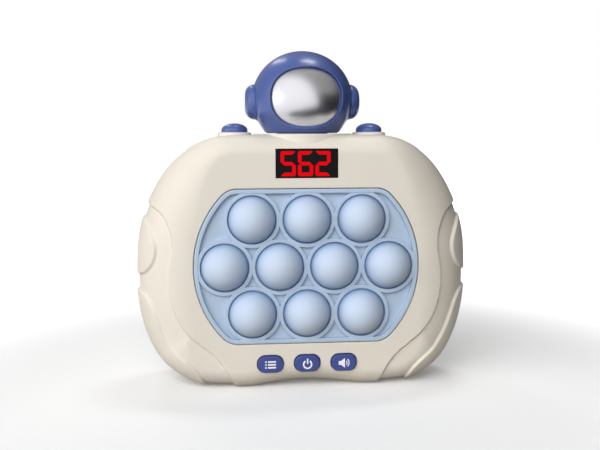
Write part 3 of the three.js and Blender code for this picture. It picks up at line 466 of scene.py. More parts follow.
def prism(name, outline, low, high):
    return loft(name, [flat_ring(outline, low), flat_ring(outline, high)])


def block(name, low, high):
    outline = [(low[0], low[2]), (high[0], low[2]), (high[0], high[2]), (low[0], high[2])]
    return prism(name, outline, low[1], high[1])


def turned(name, profile, place=(0, 0, 0), axis="y", segments=72, stretch=(1, 1, 1)):
    """A lathe-turned body from points of radius and place along the axis, from pole to pole or closed."""
    profile = np.array(profile, float)
    on_axis = profile[:, 0] < 1e-6
    turn = np.arange(segments) * 2 * math.pi / segments
    vertices, index = [], []
    for (radius, along), pole in zip(profile, on_axis):
        if pole:
            index.append([len(vertices)] * segments)
            vertices.append((0.0, along, 0.0))
        else:
            index.append(list(range(len(vertices), len(vertices) + segments)))
            vertices += [(radius * math.cos(t), along, radius * math.sin(t)) for t in turn]
    faces = []
    spans = len(profile) - 1 if on_axis[0] else len(profile)
    for k in range(spans):
        low, high = index[k], index[(k + 1) % len(profile)]
        for i in range(segments):
            j = (i + 1) % segments
            corners = list(dict.fromkeys((low[i], low[j], high[j], high[i])))
            if len(corners) > 2:
                faces.append(corners)
    vertices = np.array(vertices)
    order = {"y": (0, 1, 2), "z": (0, 2, 1), "x": (1, 0, 2)}[axis]
    return new_object(name, vertices[:, order] * stretch + place, faces)


def rod(name, radius, low, high, place=(0, 0, 0), axis="y"):
    return turned(name, [(0, low), (radius, low), (radius, high), (0, high)], place, axis, 48)


def arc(centre, radius, start, end, steps=6):
    """Profile points of a round edge, between two angles in degrees."""
    angles = np.radians(np.linspace(start, end, steps + 1))
    return [(centre[0] + radius * math.cos(a), centre[1] + radius * math.sin(a)) for a in angles]


def boolean(target, others, operation):
    """Applies one boolean with each of the other bodies, which are then deleted."""
    for other in others:
        step = target.modifiers.new(operation, "BOOLEAN")
        step.operation = operation
        step.solver = "MANIFOLD"
        step.object = other
    graph = bpy.context.evaluated_depsgraph_get()
    made = bpy.data.meshes.new_from_object(target.evaluated_get(graph))
    target.modifiers.clear()
    target.data = made
    for other in others:
        bpy.data.objects.remove(other)
    return target


def carve(target, others, operation):
    """Joins the other bodies, then joins them to the target, takes them off it or keeps what they share."""
    tool = others[0]
    if len(others) > 1:
        boolean(tool, others[1:], "UNION")
    return boolean(target, [tool], operation)


def finish_piece(piece, body, look, replaced=()):
    """Smooth shading with crisp edges, a material, and the body and solid that the piece goes with."""
    mesh = piece.data
    mesh.shade_smooth()
    mesh.set_sharp_from_angle(angle=math.radians(SHARP_ANGLE))
    even = piece.modifiers.new("even_shading", "WEIGHTED_NORMAL")
    even.keep_sharp = True
    mesh.materials.clear()
    mesh.materials.append(look)
    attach(piece, body)
    if replaced:
        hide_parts(*replaced)
    return piece


def place_of(node):
    """Middle of a solid's box, in millimetres from the seam."""
    low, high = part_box(node)
    return np.array((low + high) / 2) / MM - (0, SEAM_Y, 0)


def axis_of(node):
    """Where the axis of a solid that stands along Y meets the seam's plane."""
    return place_of(node) * (1, 0, 1)


# Materials

def paint(hex_code):
    """An sRGB hex colour as linear values."""
    values = [int(hex_code[i:i + 2], 16) / 255 for i in (1, 3, 5)]
    return [v / 12.92 if v <= 0.04045 else ((v + 0.055) / 1.055) ** 2.4 for v in values] + [1.0]


def add(tree, kind, inputs=None, **settings):
    """Adds a node with its settings, and sets or links its inputs."""
    node = tree.nodes.new(kind)
    for name, value in settings.items():
        setattr(node, name, value)
    for name, value in (inputs or {}).items():
        if isinstance(value, bpy.types.NodeSocket):
            tree.links.new(value, node.inputs[name])
        else:
            node.inputs[name].default_value = value
    return node


def start_material(name):
    look = bpy.data.materials.new(name)
    look.use_nodes = True
    tree = look.node_tree
    tree.nodes.clear()
    return look, tree


def drifting(tree, first, second, size):
    """A colour that drifts between two from place to place, over about this many millimetres."""
    where = add(tree, "ShaderNodeTexCoord").outputs["Object"]
    cloud = add(tree, "ShaderNodeTexNoise", {"Vector": where, "Scale": 1 / (size * MM), "Detail": 2.0})
    mix = add(tree, "ShaderNodeMix", {0: cloud.outputs["Fac"], 6: first, 7: second}, data_type="RGBA")
    return mix.outputs[2]


def grained(tree, size, height):
    """A skin's normal with the fine grain of its mould, by its width and height in millimetres."""
    where = add(tree, "ShaderNodeTexCoord").outputs["Object"]
    texture = add(tree, "ShaderNodeTexNoise", {"Vector": where, "Scale": 1 / (size * MM), "Detail": 3.0})
    settings = {"Height": texture.outputs["Fac"], "Strength": 0.5, "Distance": height * MM}
    return add(tree, "ShaderNodeBump", settings).outputs["Normal"]


# Real mould grain is too fine to show at this size, so it is drawn coarser
def moulded(name, colour, roughness, ior, grain, grain_height, tint=0.03, **extra):
    """Moulded plastic or rubber: an even colour that drifts a little, and the mould's fine grain."""
    look, tree = start_material(name)
    darker = [c * (1 - tint) for c in paint(colour)[:3]] + [1.0]
    settings = {
        "Base Color": drifting(tree, paint(colour), darker, 30),
        "Roughness": roughness,
        "IOR": ior,
        "Normal": grained(tree, grain, grain_height),
    }
    surface = add(tree, "ShaderNodeBsdfPrincipled", {**settings, **extra})
    add(tree, "ShaderNodeOutputMaterial", {"Surface": surface.outputs[0]})
    return look


# Spark-eroded ABS: a satin cream skin that spreads every highlight
cream_abs = moulded("cream_abs", "#E3DCD0", 0.46, 1.54, 0.5, 0.02)
# The same plastic in pale blue, a little duller inside the panel
blue_abs = moulded("blue_abs", "#B3C6DC", 0.5, 1.54, 0.5, 0.02)


def silicone_with_painted_shade():
    """Satin silicone rubber with painted light and shade: palest at the dome's top, a deeper blue towards
    its foot.
    """
    look, tree = start_material("bubble_silicone")
    place = add(tree, "ShaderNodeSeparateXYZ", {0: add(tree, "ShaderNodeTexCoord").outputs["Object"]})
    ends = {"From Min": (SEAM_Y + BUBBLE_FOOT) * MM, "From Max": (SEAM_Y + RING_FACE - BUBBLE_RISE) * MM}
    height = add(tree, "ShaderNodeMapRange", {"Value": place.outputs["Y"], **ends})
    # Painted light and shade: the colour runs from a deep blue at the dome's foot to pale at its top
    painted_shade = add(tree, "ShaderNodeValToRGB", {0: height.outputs[0]})
    stops = painted_shade.color_ramp.elements
    stops[0].color, stops[1].color = paint("#7490BC"), paint("#C8D6EA")
    for position, colour in ((0.22, "#9EB5D1"), (0.34, "#ADC1DA"), (0.46, "#B8C9E1"), (0.66, "#C0CFE5")):
        stops.new(position).color = paint(colour)
    settings = {
        "Base Color": painted_shade.outputs[0],
        "Roughness": 0.4,
        "IOR": 1.45,
        "Normal": grained(tree, 0.4, 0.012),
        "Sheen Weight": 0.06,
        "Sheen Roughness": 0.45,
        "Specular IOR Level": 0.3,
        "Subsurface Weight": 0.05,
        "Subsurface Radius": [1.0, 1.0, 1.2],
        "Subsurface Scale": 0.6 * MM,
    }
    surface = add(tree, "ShaderNodeBsdfPrincipled", settings)
    add(tree, "ShaderNodeOutputMaterial", {"Surface": surface.outputs[0]})
    return look


# The bubbles' silicone, with light and shade painted into its colour
bubble_silicone = silicone_with_painted_shade()
# Polished ABS: clear, soft-edged reflections of the lamps
polish_coat = {"Coat Weight": 0.5, "Coat Roughness": 0.25}
navy_abs = moulded("navy_abs", "#465B9C", 0.32, 1.48, 0.8, 0.01, **polish_coat)
# The keys' ABS: a deeper blue with a plain gloss
key_abs = moulded("key_abs", "#38478E", 0.3, 1.54, 0.8, 0.01)
# Smoked acrylic: near black, so that only the lit digits read
dull_face = {"Specular IOR Level": 0.12}
smoked_acrylic = moulded("smoked_acrylic", "#0A0A0B", 0.3, 1.49, 1.0, 0.004, **dull_face)
# White pad-printed ink, slightly raised and matt
white_ink = moulded("white_ink", "#F4F4F6", 0.6, 1.5, 0.3, 0.01)
# Milky polystyrene that spreads the light under each bubble
milky_body = {"Subsurface Weight": 0.3}
milky_polystyrene = moulded("milky_polystyrene", "#EEF1F4", 0.45, 1.59, 0.4, 0.01, **milky_body)
# Moulded nylon: a plain dull black
black_nylon = moulded("black_nylon", "#1B1C1E", 0.55, 1.53, 0.4, 0.02)
# Solder mask over glass epoxy: glossy green, mottled by the weave and copper under it
solder_mask = moulded("solder_mask", "#1F6B3F", 0.35, 1.52, 1.2, 0.03, tint=0.35)
# Pressed paper: dull, fibrous and nearly black
paper_cone = moulded("paper_cone", "#2C2D30", 0.75, 1.45, 0.6, 0.05, tint=0.2)
# Printed foil jacket: smooth dark grey with a soft shine
cell_jacket = moulded("cell_jacket", "#3E444B", 0.32, 1.5, 2.0, 0.01, tint=0.2)


def metal(name, colour, roughness, uneven, size):
    """Bare or plated metal whose polish varies a little from place to place."""
    look, tree = start_material(name)
    where = add(tree, "ShaderNodeTexCoord").outputs["Object"]
    cloud = add(tree, "ShaderNodeTexNoise", {"Vector": where, "Scale": 1 / (size * MM), "Detail": 2.0})
    ends = {"To Min": roughness - uneven, "To Max": roughness + uneven}
    polish = add(tree, "ShaderNodeMapRange", {"Value": cloud.outputs["Fac"], **ends})
    settings = {"Base Color": paint(colour), "Metallic": 1.0, "Roughness": polish.outputs[0]}
    surface = add(tree, "ShaderNodeBsdfPrincipled", settings)
    add(tree, "ShaderNodeOutputMaterial", {"Surface": surface.outputs[0]})
    return look


# Vacuum-metallised plastic: a silver mirror with a faintly soft reflection
visor_mirror = metal("visor_mirror", "#E6E6EA", 0.32, 0.02, 8)
# Nickel-plated steel: bright, with a slightly uneven polish
plated_steel = metal("plated_steel", "#C9CACD", 0.28, 0.05, 2)


def lit_segments():
    """Red LED segments, lit evenly."""
    look, tree = start_material("lit_segments")
    settings = {
        "Base Color": paint("#300004"),
        "Roughness": 0.5,
        "Specular IOR Level": 0.0,
        "Emission Color": drifting(tree, paint("#EE0A12"), paint("#E40810"), 2),
        "Emission Strength": 1.0,
    }
    surface = add(tree, "ShaderNodeBsdfPrincipled", settings)
    add(tree, "ShaderNodeOutputMaterial", {"Surface": surface.outputs[0]})
    return look


red_segments = lit_segments()


# Casing

def lerp(a, b, t):
    return a + (b - a) * t


class Casing:
    """The casing's skin, worked out once for every station round its outline."""

    def __init__(self):
        self.points, self.normals = casing_stations()
        rise = np.abs(self.normals[:, 1]) ** BLEND_POWER
        end = np.where(self.normals[:, 1] > 0, TOP_ROUND, BOTTOM_ROUND)
        self.round = lerp(FLANK_ROUND, end, rise)
        self.depth = lerp(HALF_DEPTH - FLANK_LAND, END_ROUND_DEPTH, rise)
        corner = (HALF_WIDTH * GRIP_STEP_SHARES[0][0], RIDGE * GRIP_STEP_SHARES[-1][1])
        self.step = np.vstack([spline(GRIP_STEP_SHARES, False, 8), [corner]])
        self.upper_pad = spline(UPPER_PAD_SHARES, False, 8)
        self.lower_pad = np.vstack([spline(LOWER_PAD_SHARES, False, 8), [corner]])
        self.flank = [self.outer_ring(0.0, share) for share in np.linspace(0, 1, LAND_ROWS, endpoint=False)]
        self.flank += [self.outer_ring(angle) for angle in np.linspace(0, math.pi / 2, FLANK_ROWS)]

    def relief(self, flat):
        """How far the skin is sunk at these X, Z places: the grip bands, less the finger pads."""
        right = np.stack([np.abs(flat[:, 0]), flat[:, 1]], axis=1)
        band = smooth_step(depth_inside(right, self.step), STEP_SOFTNESS)
        pads = np.maximum(
            smooth_step(depth_inside(right, self.upper_pad), PAD_SOFTNESS),
            smooth_step(depth_inside(right, self.lower_pad), PAD_SOFTNESS),
        )
        return RELIEF * np.minimum(band, 1 - pads)

    def section(self, angle, inset=0.0):
        """The ring of the skin at one angle of its rounding, from the flank's edge to the flat face."""
        across = inset + (self.round - inset) * (1 - math.cos(angle))
        depth = self.depth - inset
        flat = self.points - self.normals * across[:, None]
        away = HALF_DEPTH - inset - depth + depth * math.sin(angle)
        return flat, away

    def outer_ring(self, angle, share=1.0):
        """The same ring of the outside, sunk at the grip bands; share sets it on its way from the seam."""
        flat, _ = self.section(angle)
        flat, away = self.section(angle, self.relief(flat))
        return flat, lerp(SEAM_GAP / 2, away, share)


def ring_at(side, flat, away):
    return np.stack([flat[:, 0], side * np.asarray(away), np.maximum(flat[:, 1], 0)], axis=1)


def tray(casing, side, opening, edge_rows):
    """One hollow half of the casing: skin, face, its opening's edge, and the inside back to the seam."""
    rows = [ring_at(side, *ring) for ring in casing.flank]
    face, _ = casing.section(math.pi / 2)
    edge = opening(FIT + edge_rows[0][0])
    for share in np.linspace(0, 1, FACE_ROWS)[1:-1]:
        flat = lerp(face, edge, share)
        rows.append(ring_at(side, flat, HALF_DEPTH - casing.relief(flat)))
    for wider, depth in edge_rows:
        rows.append(ring_at(side, opening(FIT + wider), np.full(STATIONS, HALF_DEPTH - depth)))
    for angle in np.linspace(math.pi / 2, 0, INNER_ROWS):
        rows.append(ring_at(side, *casing.section(angle, WALL)))
    return rows


def seam_rows(casing, side):
    """The half lap that joins the casings: a rebate in the front one and a lip on the rear one."""
    setback = LIP_SETBACK if side < 0 else LIP_SETBACK + FIT / 2
    middle, _ = casing.section(0.0, setback)
    inner, _ = casing.section(0.0, WALL)
    reach = LIP_DEPTH + FIT if side < 0 else -LIP_DEPTH
    rows = ((inner, reach), (middle, reach), (middle, SEAM_GAP / 2))
    return [ring_at(side, flat, np.full(STATIONS, away)) for flat, away in rows]


def core(casing, side, inset=WALL):
    """The solid space inside one half of the casing's skin, sunk by an inset."""
    rings = [casing.section(angle, inset) for angle in np.linspace(0, math.pi / 2, 16)]
    rings = [(rings[0][0], np.full(STATIONS, -OVERRUN / 2)), *rings]
    return loft("core", [ring_at(side, flat, away) for flat, away in rings])


def keep_half(body, side, gap=SEAM_GAP / 2):
    """Keeps what lies on one side of the seam."""
    low, high = sorted((side * gap, side * HALF_WIDTH))
    room = block("half_room", (-HALF_WIDTH, low, 0), (HALF_WIDTH, high, 2 * RIDGE))
    return boolean(body, [room], "INTERSECT")


def neck(side):
    profile = [(0, NECK_FLARE[0][1]), *NECK_FLARE]
    profile += arc((NECK_FLARE[-1][0] - NECK_EDGE, NECK_TOP - NECK_EDGE), NECK_EDGE, 0, 90, 5)
    profile += [(0, NECK_TOP)]
    body = turned("neck", profile, axis="z", segments=160, stretch=(1, NECK_DEPTH_SHARE, 1))
    return keep_half(body, side)


def half_collars(side):
    """The raised seats of the shoulder buttons."""
    profile = [(0, COLLAR_FLARE[0][1])]
    profile += [(COLLAR_RADIUS + wider, height) for wider, height in COLLAR_FLARE]
    profile += arc((COLLAR_RADIUS - COLLAR_EDGE, COLLAR_TOP - COLLAR_EDGE), COLLAR_EDGE, 0, 90, 4)
    profile += [(0, COLLAR_TOP)]
    seats = [turned("collar", profile, (place_of(node)[0], 0, 0), "z") for node in SHOULDER_BUTTONS]
    return [keep_half(seat, side) for seat in seats]


def top_holes():
    """What is cut through the neck and collars: the neck's bore, and the buttons' bores and wells."""
    cuts = [rod("neck_bore", *NECK_BORE, TOP_CUT, axis="z")]
    well, floor, roof = BUTTON_WELL
    for node in SHOULDER_BUTTONS:
        place = (place_of(node)[0], 0, 0)
        cuts.append(rod("button_bore", BUTTON_RADIUS + FIT, floor, TOP_CUT, place, "z"))
        cuts.append(rod("button_well", well, floor, roof, place, "z"))
    return cuts


def add_top(shell, casing, side):
    """Joins one half of the neck and collars to the shell, and opens them."""
    tops = carve(neck(side), half_collars(side), "UNION")
    carve(tops, [core(casing, side)], "DIFFERENCE")
    carve(shell, [tops], "UNION")
    carve(shell, top_holes(), "DIFFERENCE")


def flared_cut(name, outline, face, back, edge):
    """A cutter for a hole whose rim is rounded where it meets the face."""
    side = 1 if back > face else -1
    rows = [(edge * 1.6, -OVERRUN), *arc((edge, edge), edge, -90, -180, 5)]
    rings = [flat_ring(outline(grow), face + side * depth) for grow, depth in rows]
    return loft(name, [*rings, flat_ring(outline(0.0), back)])


def key_outline(x, z, grow):
    return rounded_rectangle(*KEY_SIZE, KEY_CORNER, (x, z), grow=grow)


def front_casing(casing):
    angles = np.arctan2(casing.points[:, 1] - PANEL_CENTRE, casing.points[:, 0])
    rows = tray(casing, -1, lambda grow: barrel(grow, angles), HOLE_EDGE_ROWS)
    shell = loft("front_casing", rows + seam_rows(casing, -1), ring_closes=True)
    add_top(shell, casing, -1)
    bosses = [rod("boss", BOSS_RADIUS, -RIB_END, BOSS_REACH, axis_of(node)) for node in CASE_SCREWS]
    carve(bosses[0], bosses[1:], "UNION")
    room = block("boss_room", (-HALF_WIDTH, 0, 0), (HALF_WIDTH, BOSS_REACH, RIDGE))
    boolean(bosses[0], [carve(core(casing, -1, BOSS_INSET), [room], "UNION")], "INTERSECT")
    carve(shell, bosses[:1], "UNION")
    half = [size / 2 + DISPLAY_FIT for size in DISPLAY_SIZE]
    cuts = [block(
        "display_cut", (-half[0], -HALF_DEPTH - OVERRUN, DISPLAY_CENTRE - half[1]),
        (half[0], -FACE_CUT, DISPLAY_CENTRE + half[1]),
    )]
    for node in KEYS:
        x, _, z = place_of(node)
        hole = lambda grow: key_outline(x, z, FIT + grow)
        cuts.append(flared_cut("key_cut", hole, -HALF_DEPTH, -FACE_CUT, KEY_HOLE_EDGE))
    cuts += [rod("pilot", SCREW_BORE, *PILOT_ENDS, axis_of(node)) for node in CASE_SCREWS]
    carve(shell, cuts, "DIFFERENCE")
    return finish_piece(shell, "casing", cream_abs, ("front_shell",))


def door_outline(grow):
    return rounded_rectangle(*DOOR_SIZE, DOOR_CORNER, DOOR_CENTRE, grow=grow)


def grille_slots():
    cuts = []
    for k in range(SLOTS):
        x = (k - (SLOTS - 1) / 2) * SLOT_PITCH
        height = 2 * math.sqrt(GRILLE_RADIUS**2 - x**2)
        corner = SLOT_WIDTH / 2 - ROUND_END
        outline = lambda grow: rounded_rectangle(SLOT_WIDTH, height, corner, (x, SPEAKER_CENTRE), grow=grow)
        cuts.append(flared_cut("grille_slot", outline, HALF_DEPTH, FACE_CUT, SLOT_EDGE))
    return cuts


def rear_casing(casing):
    angles = np.arctan2(casing.points[:, 1] - DOOR_CENTRE[1], casing.points[:, 0])
    opening = lambda grow: ray_outline(door_outline(grow), DOOR_CENTRE, angles)
    rows = tray(casing, 1, opening, DOOR_HOLE_EDGE_ROWS)
    shell = loft("rear_casing", rows + seam_rows(casing, 1), ring_closes=True)
    add_top(shell, casing, 1)
    first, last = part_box("battery_1")[0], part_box("battery_3")[1]
    low, high = first.z / MM - CELL_GAP, last.z / MM + CELL_GAP
    floor = first.y / MM - SEAM_Y - FIT
    side, wall = CELL_ROOM_HALF + CELL_BOX_WALL, CELL_BOX_WALL
    corners = (-side, floor - CELL_BOX_FLOOR, low - wall), (side, RIB_END, high + wall)
    added = [block("cell_box", *corners)]
    wider, front = DOOR_SHELF
    added.append(prism("door_shelf", door_outline(wider), front, RIB_END))
    wells = [rod("screw_well", WELL_RADIUS, *WELL_ENDS, axis_of(node)) for node in CASE_SCREWS]
    carve(wells[0], wells[1:], "UNION")
    added.append(boolean(wells[0], [core(casing, 1, BOSS_INSET)], "INTERSECT"))
    door_screw = axis_of("battery_door_screw")
    added.append(rod("door_boss", *DOOR_BOSS, DOOR_SEAT, door_screw))
    radius, bore, front = SPEAKER_RING
    speaker = (0, 0, SPEAKER_CENTRE)
    ring = rod("speaker_ring", radius, front, RIB_END, speaker)
    boolean(ring, [rod("ring_bore", bore, front - OVERRUN, HALF_DEPTH - WALL, speaker)], "DIFFERENCE")
    carve(shell, [*added, ring], "UNION")
    past = HALF_DEPTH + OVERRUN
    cuts = [block("cell_room", (-CELL_ROOM_HALF, floor, low), (CELL_ROOM_HALF, past, high))]
    cuts.append(prism("door_recess", door_outline(FIT), DOOR_SEAT, past))
    for node in CASE_SCREWS:
        cuts.append(rod("screw_bore", SCREW_BORE, OVERRUN / 2, HALF_DEPTH, axis_of(node)))
        cuts.append(turned("screw_mouth", SCREW_MOUTH, axis_of(node)))
    cuts.append(rod("door_pilot", SCREW_BORE, DOOR_PILOT_END, HALF_DEPTH, door_screw))
    carve(shell, cuts + grille_slots(), "DIFFERENCE")
    return finish_piece(shell, "casing", cream_abs, ("rear_shell",))


# Bubble panel and bubbles

def panel():
    angles = np.linspace(0, 2 * math.pi, 480, endpoint=False)
    rows = [(0.0, PANEL_BACK), (PANEL_FLANGE, PANEL_BACK), (PANEL_FLANGE, FLANGE_FACE), (0.0, FLANGE_FACE)]
    rows += arc((-RIM_EDGE, RIM_FACE + RIM_EDGE), RIM_EDGE, 0, -90, 5)
    rows += arc((-PANEL_RIM + RIM_EDGE, RIM_FACE + RIM_EDGE), RIM_EDGE, -90, -180, 5)
    rows += arc((-PANEL_RIM - RING_FILLET, FLOOR_FACE - RING_FILLET), RING_FILLET, 0, 90, 5)
    plate = loft("bubble_panel_dressed", [flat_ring(barrel(grow, angles), y) for grow, y in rows])
    outer = RING_BORE + RING_WALL
    wall = [(0, PANEL_BACK), (outer + RING_FILLET, PANEL_BACK)]
    wall += arc((outer + RING_FILLET, FLOOR_FACE - RING_FILLET), RING_FILLET, 90, 180, 4)
    wall += arc((outer - RING_EDGE, RING_FACE + RING_EDGE), RING_EDGE, 0, -90, 5) + [(0, RING_FACE)]
    hole = [(0, RING_FACE - OVERRUN), (RING_BORE + RING_EDGE * 1.5, RING_FACE - OVERRUN)]
    hole += arc((RING_BORE + RING_EDGE, RING_FACE + RING_EDGE), RING_EDGE, -90, -180, 5)
    hole += [(RING_BORE, BORE_END), (0, BORE_END)]
    for profile, operation in ((wall, "UNION"), (hole, "DIFFERENCE")):
        carve(plate, [turned("ring", profile, axis_of(node), segments=96) for node in BUBBLES], operation)
    return finish_piece(plate, "casing", blue_abs, ("bubble_panel",))


def bubble(node):
    sphere = (BUBBLE_RADIUS**2 + BUBBLE_RISE**2) / (2 * BUBBLE_RISE)
    inside = sphere - BUBBLE_WALL
    centre = (0, RING_FACE - BUBBLE_RISE + sphere)
    widest = math.degrees(math.asin(BUBBLE_RADIUS / sphere)) - 90
    hollow = math.degrees(math.asin((BUBBLE_RADIUS - BUBBLE_WALL) / inside)) - 90
    bend = BUBBLE_FOOT_RADIUS - BUBBLE_RADIUS
    front, back = BUBBLE_FLANGE
    profile = arc(centre, sphere, -90, widest, 27)
    profile += arc((BUBBLE_FOOT_RADIUS, BUBBLE_FOOT - bend), bend, 180, 90, 4)
    profile += [(BUBBLE_FOOT_RADIUS, BUBBLE_FOOT + FIT), (BUBBLE_FOOT_RADIUS, front)]
    profile += [(BUBBLE_FLANGE_RADIUS, front), (BUBBLE_FLANGE_RADIUS, back)]
    profile += [(BUBBLE_RADIUS - BUBBLE_WALL, back)]
    profile += arc(centre, inside, hollow, -90, 9)
    cap = turned(f"{node}_dressed", profile, axis_of(node), segments=112)
    return finish_piece(cap, node, bubble_silicone, (node,))


# Display

SEGMENTS_LIT = {"5": "afgcd", "6": "afgedc", "2": "abged"}


def segment_outline(which):
    """One bar of a digit, as a six-sided outline about the digit's middle."""
    wide, high = DIGIT_SIZE[0] / 2, DIGIT_SIZE[1] / 2
    s, bevel = DIGIT_STROKE, DIGIT_STROKE / 2
    if which == "g":
        near = wide - DIGIT_GAP - bevel
        return [(-near, 0), (-near + bevel, bevel), (near - bevel, bevel), (near, 0),
                (near - bevel, -bevel), (-near + bevel, -bevel)]
    if which in "ad":
        way = 1 if which == "a" else -1
        reach, outer, inner = wide - DIGIT_GAP, way * high, way * (high - s)
        corner = outer - way * DIGIT_TRIM * 0.8
        return [(-reach + DIGIT_TRIM, outer), (reach - DIGIT_TRIM, outer),
                (reach - DIGIT_TRIM / 2, corner), (reach - s, inner),
                (-reach + s, inner), (-reach + DIGIT_TRIM / 2, corner)]
    side = 1 if which in "bc" else -1
    way = 1 if which in "bf" else -1
    outer, inner = side * wide, side * (wide - s)
    top, foot = high - DIGIT_GAP - DIGIT_DROP, DIGIT_GAP
    return [(outer, way * (top - DIGIT_TRIM)), (outer, way * (foot + bevel)),
            ((outer + inner) / 2, way * foot), (inner, way * (foot + bevel)),
            (inner, way * (top + DIGIT_DROP - s)), (outer - side * DIGIT_TRIM, way * top)]


def display():
    outline = lambda grow: rounded_rectangle(*DISPLAY_SIZE, DISPLAY_CORNER, (0, DISPLAY_CENTRE), 4, grow)
    rows = ((-DISPLAY_EDGE, DISPLAY_FACE), (0.0, DISPLAY_FACE + DISPLAY_EDGE), (0.0, DISPLAY_BACK))
    pane = loft("display_pane", [flat_ring(outline(grow), y) for grow, y in rows])
    finish_piece(pane, "casing", smoked_acrylic, ("display_window",))
    for k, digit in enumerate(SCORE):
        middle = (DIGIT_SHIFT[0] + (k - 1) * DIGIT_PITCH, DISPLAY_CENTRE + DIGIT_SHIFT[1])
        for which in SEGMENTS_LIT[digit]:
            outline = np.array(segment_outline(which)) + middle
            bar = prism(
                f"digit_{k + 1}_{which}", outline, DISPLAY_FACE - DIGIT_PROUD, DISPLAY_FACE + MARK_SUNK,
            )
            finish_piece(bar, "casing", red_segments)


# Keys, whose icons are drawn about their middle

def bar_outline(x, z, width, height):
    return rounded_rectangle(width, height, min(width, height) * 0.3, (x, z), 3)


def ring_sector(centre, inner, outer, start, end, steps=28):
    angles = np.radians(np.linspace(start, end, steps))
    near = [(centre[0] + inner * math.cos(a), centre[1] + inner * math.sin(a)) for a in angles]
    far = [(centre[0] + outer * math.cos(a), centre[1] + outer * math.sin(a)) for a in angles[::-1]]
    return near + far


def menu_icon():
    shapes = []
    for row in (-1, 0, 1):
        shapes.append(bar_outline(-2.1, row * 1.3, 0.7, 0.7))
        shapes.append(bar_outline(0.55, row * 1.3, 3.6, 0.72))
    return shapes


def power_icon():
    return [ring_sector((0, -0.25), 1.42, 2.1, 122, 418), bar_outline(0, 1.15, 0.68, 2.4)]


def volume_icon():
    horn = [(-2.45, -0.85), (-1.45, -0.85), (0.35, -2.2), (0.35, 2.2), (-1.45, 0.85), (-2.45, 0.85)]
    return [horn, ring_sector((0, 0), 1.1, 1.5, -42, 42, 12), ring_sector((0, 0), 1.95, 2.4, -48, 48, 16)]


ICONS = {"menu_button": menu_icon, "power_button": power_icon, "volume_button": volume_icon}


def key(node):
    x, _, z = place_of(node)
    rows = [(-KEY_EDGE - KEY_LAND, KEY_FACE), *arc((-KEY_EDGE, KEY_FACE + KEY_EDGE), KEY_EDGE, -90, 0, 6)]
    rows += [(0.0, KEY_BACK)]
    cap = loft(f"{node}_cap", [flat_ring(key_outline(x, z, grow), y) for grow, y in rows])
    finish_piece(cap, node, key_abs, (node,))
    for k, outline in enumerate(ICONS[node]()):
        outline = np.array(outline) + (x, z)
        mark = prism(f"{node}_mark_{k + 1}", outline, KEY_FACE - MARK_PROUD, KEY_FACE + MARK_SUNK)
        finish_piece(mark, node, white_ink)


def shoulder_button(node):
    dome = [(BUTTON_RADIUS * math.sin(a), BUTTON_TOP - BUTTON_DOME * (1 - math.cos(a)))
            for a in np.linspace(0, math.pi / 2, 16)]
    cap = turned(f"{node}_cap", [*dome, *BUTTON_FOOT], (place_of(node)[0], 0, 0), "z", 80)
    return finish_piece(cap, node, navy_abs, (node,))


# Helmet

def helmet_radius(z, inset=0.0):
    """Radius of the helmet at a height: a squat ball whose lower part narrows in a straight cone."""
    wide, _, high = HELMET_RADII
    ball = (wide - inset) * math.sqrt(max(0, 1 - ((z - HELMET_CENTRE) / (high - inset)) ** 2))
    top = wide * math.sqrt(1 - ((HELMET_CONE_TOP - HELMET_CENTRE) / high) ** 2)
    slope = (top - HELMET_BASE_RADIUS) / (HELMET_CONE_TOP - HELMET_BASE)
    cone = HELMET_BASE_RADIUS - inset + slope * (z - HELMET_BASE) + HELMET_CONE_WIDER
    return -HELMET_BLEND * math.log(math.exp(-ball / HELMET_BLEND) + math.exp(-cone / HELMET_BLEND))


def helmet_profile(inset, base):
    high = HELMET_RADII[2] - inset
    low_angle = math.asin((base - HELMET_CENTRE) / high)
    heights = [HELMET_CENTRE + high * math.sin(a) for a in np.linspace(math.pi / 2, low_angle, 60)[1:]]
    return [(0.0, HELMET_CENTRE + high)] + [(helmet_radius(z, inset), z) for z in heights]


HELMET_STRETCH = (1, HELMET_RADII[1] / HELMET_RADII[0], 1)


def helmet_skin(flat, inset=0.0):
    """How far forward the helmet's skin lies at these X, Z places."""
    wide = np.array([helmet_radius(float(z), inset) for z in flat[:, 1]])
    across = np.sqrt(np.maximum(0, 1 - (flat[:, 0] / wide) ** 2))
    return -(wide * HELMET_STRETCH[1]) * across


def visor_outline(grow, count=160):
    angles = np.linspace(0, 2 * math.pi, count, endpoint=False)
    across, up = np.cos(angles), np.sin(angles)
    reach = (np.abs(across) ** VISOR_POWER + np.abs(up) ** VISOR_POWER) ** (-1 / VISOR_POWER)
    flat = np.stack([(VISOR_HALF[0] + grow) * reach * across, (VISOR_HALF[1] + grow) * reach * up], axis=1)
    return flat + VISOR_CENTRE


def visor_cut():
    """Cutter for the visor's opening, whose rounded lip follows the ball."""
    lip = VISOR_LIP
    rings = [flat_ring(visor_outline(lip * 1.5), -HELMET_CENTRE)]
    for grow, depth in [(lip * 1.05, -VISOR_CUT_ABOVE), *arc((lip, lip), lip, -90, -180, 6)]:
        outline = visor_outline(grow)
        rings.append(flat_ring(outline, helmet_skin(outline) + depth))
    return loft("visor_cut", [*rings, flat_ring(visor_outline(0.0), VISOR_CUT_END)])


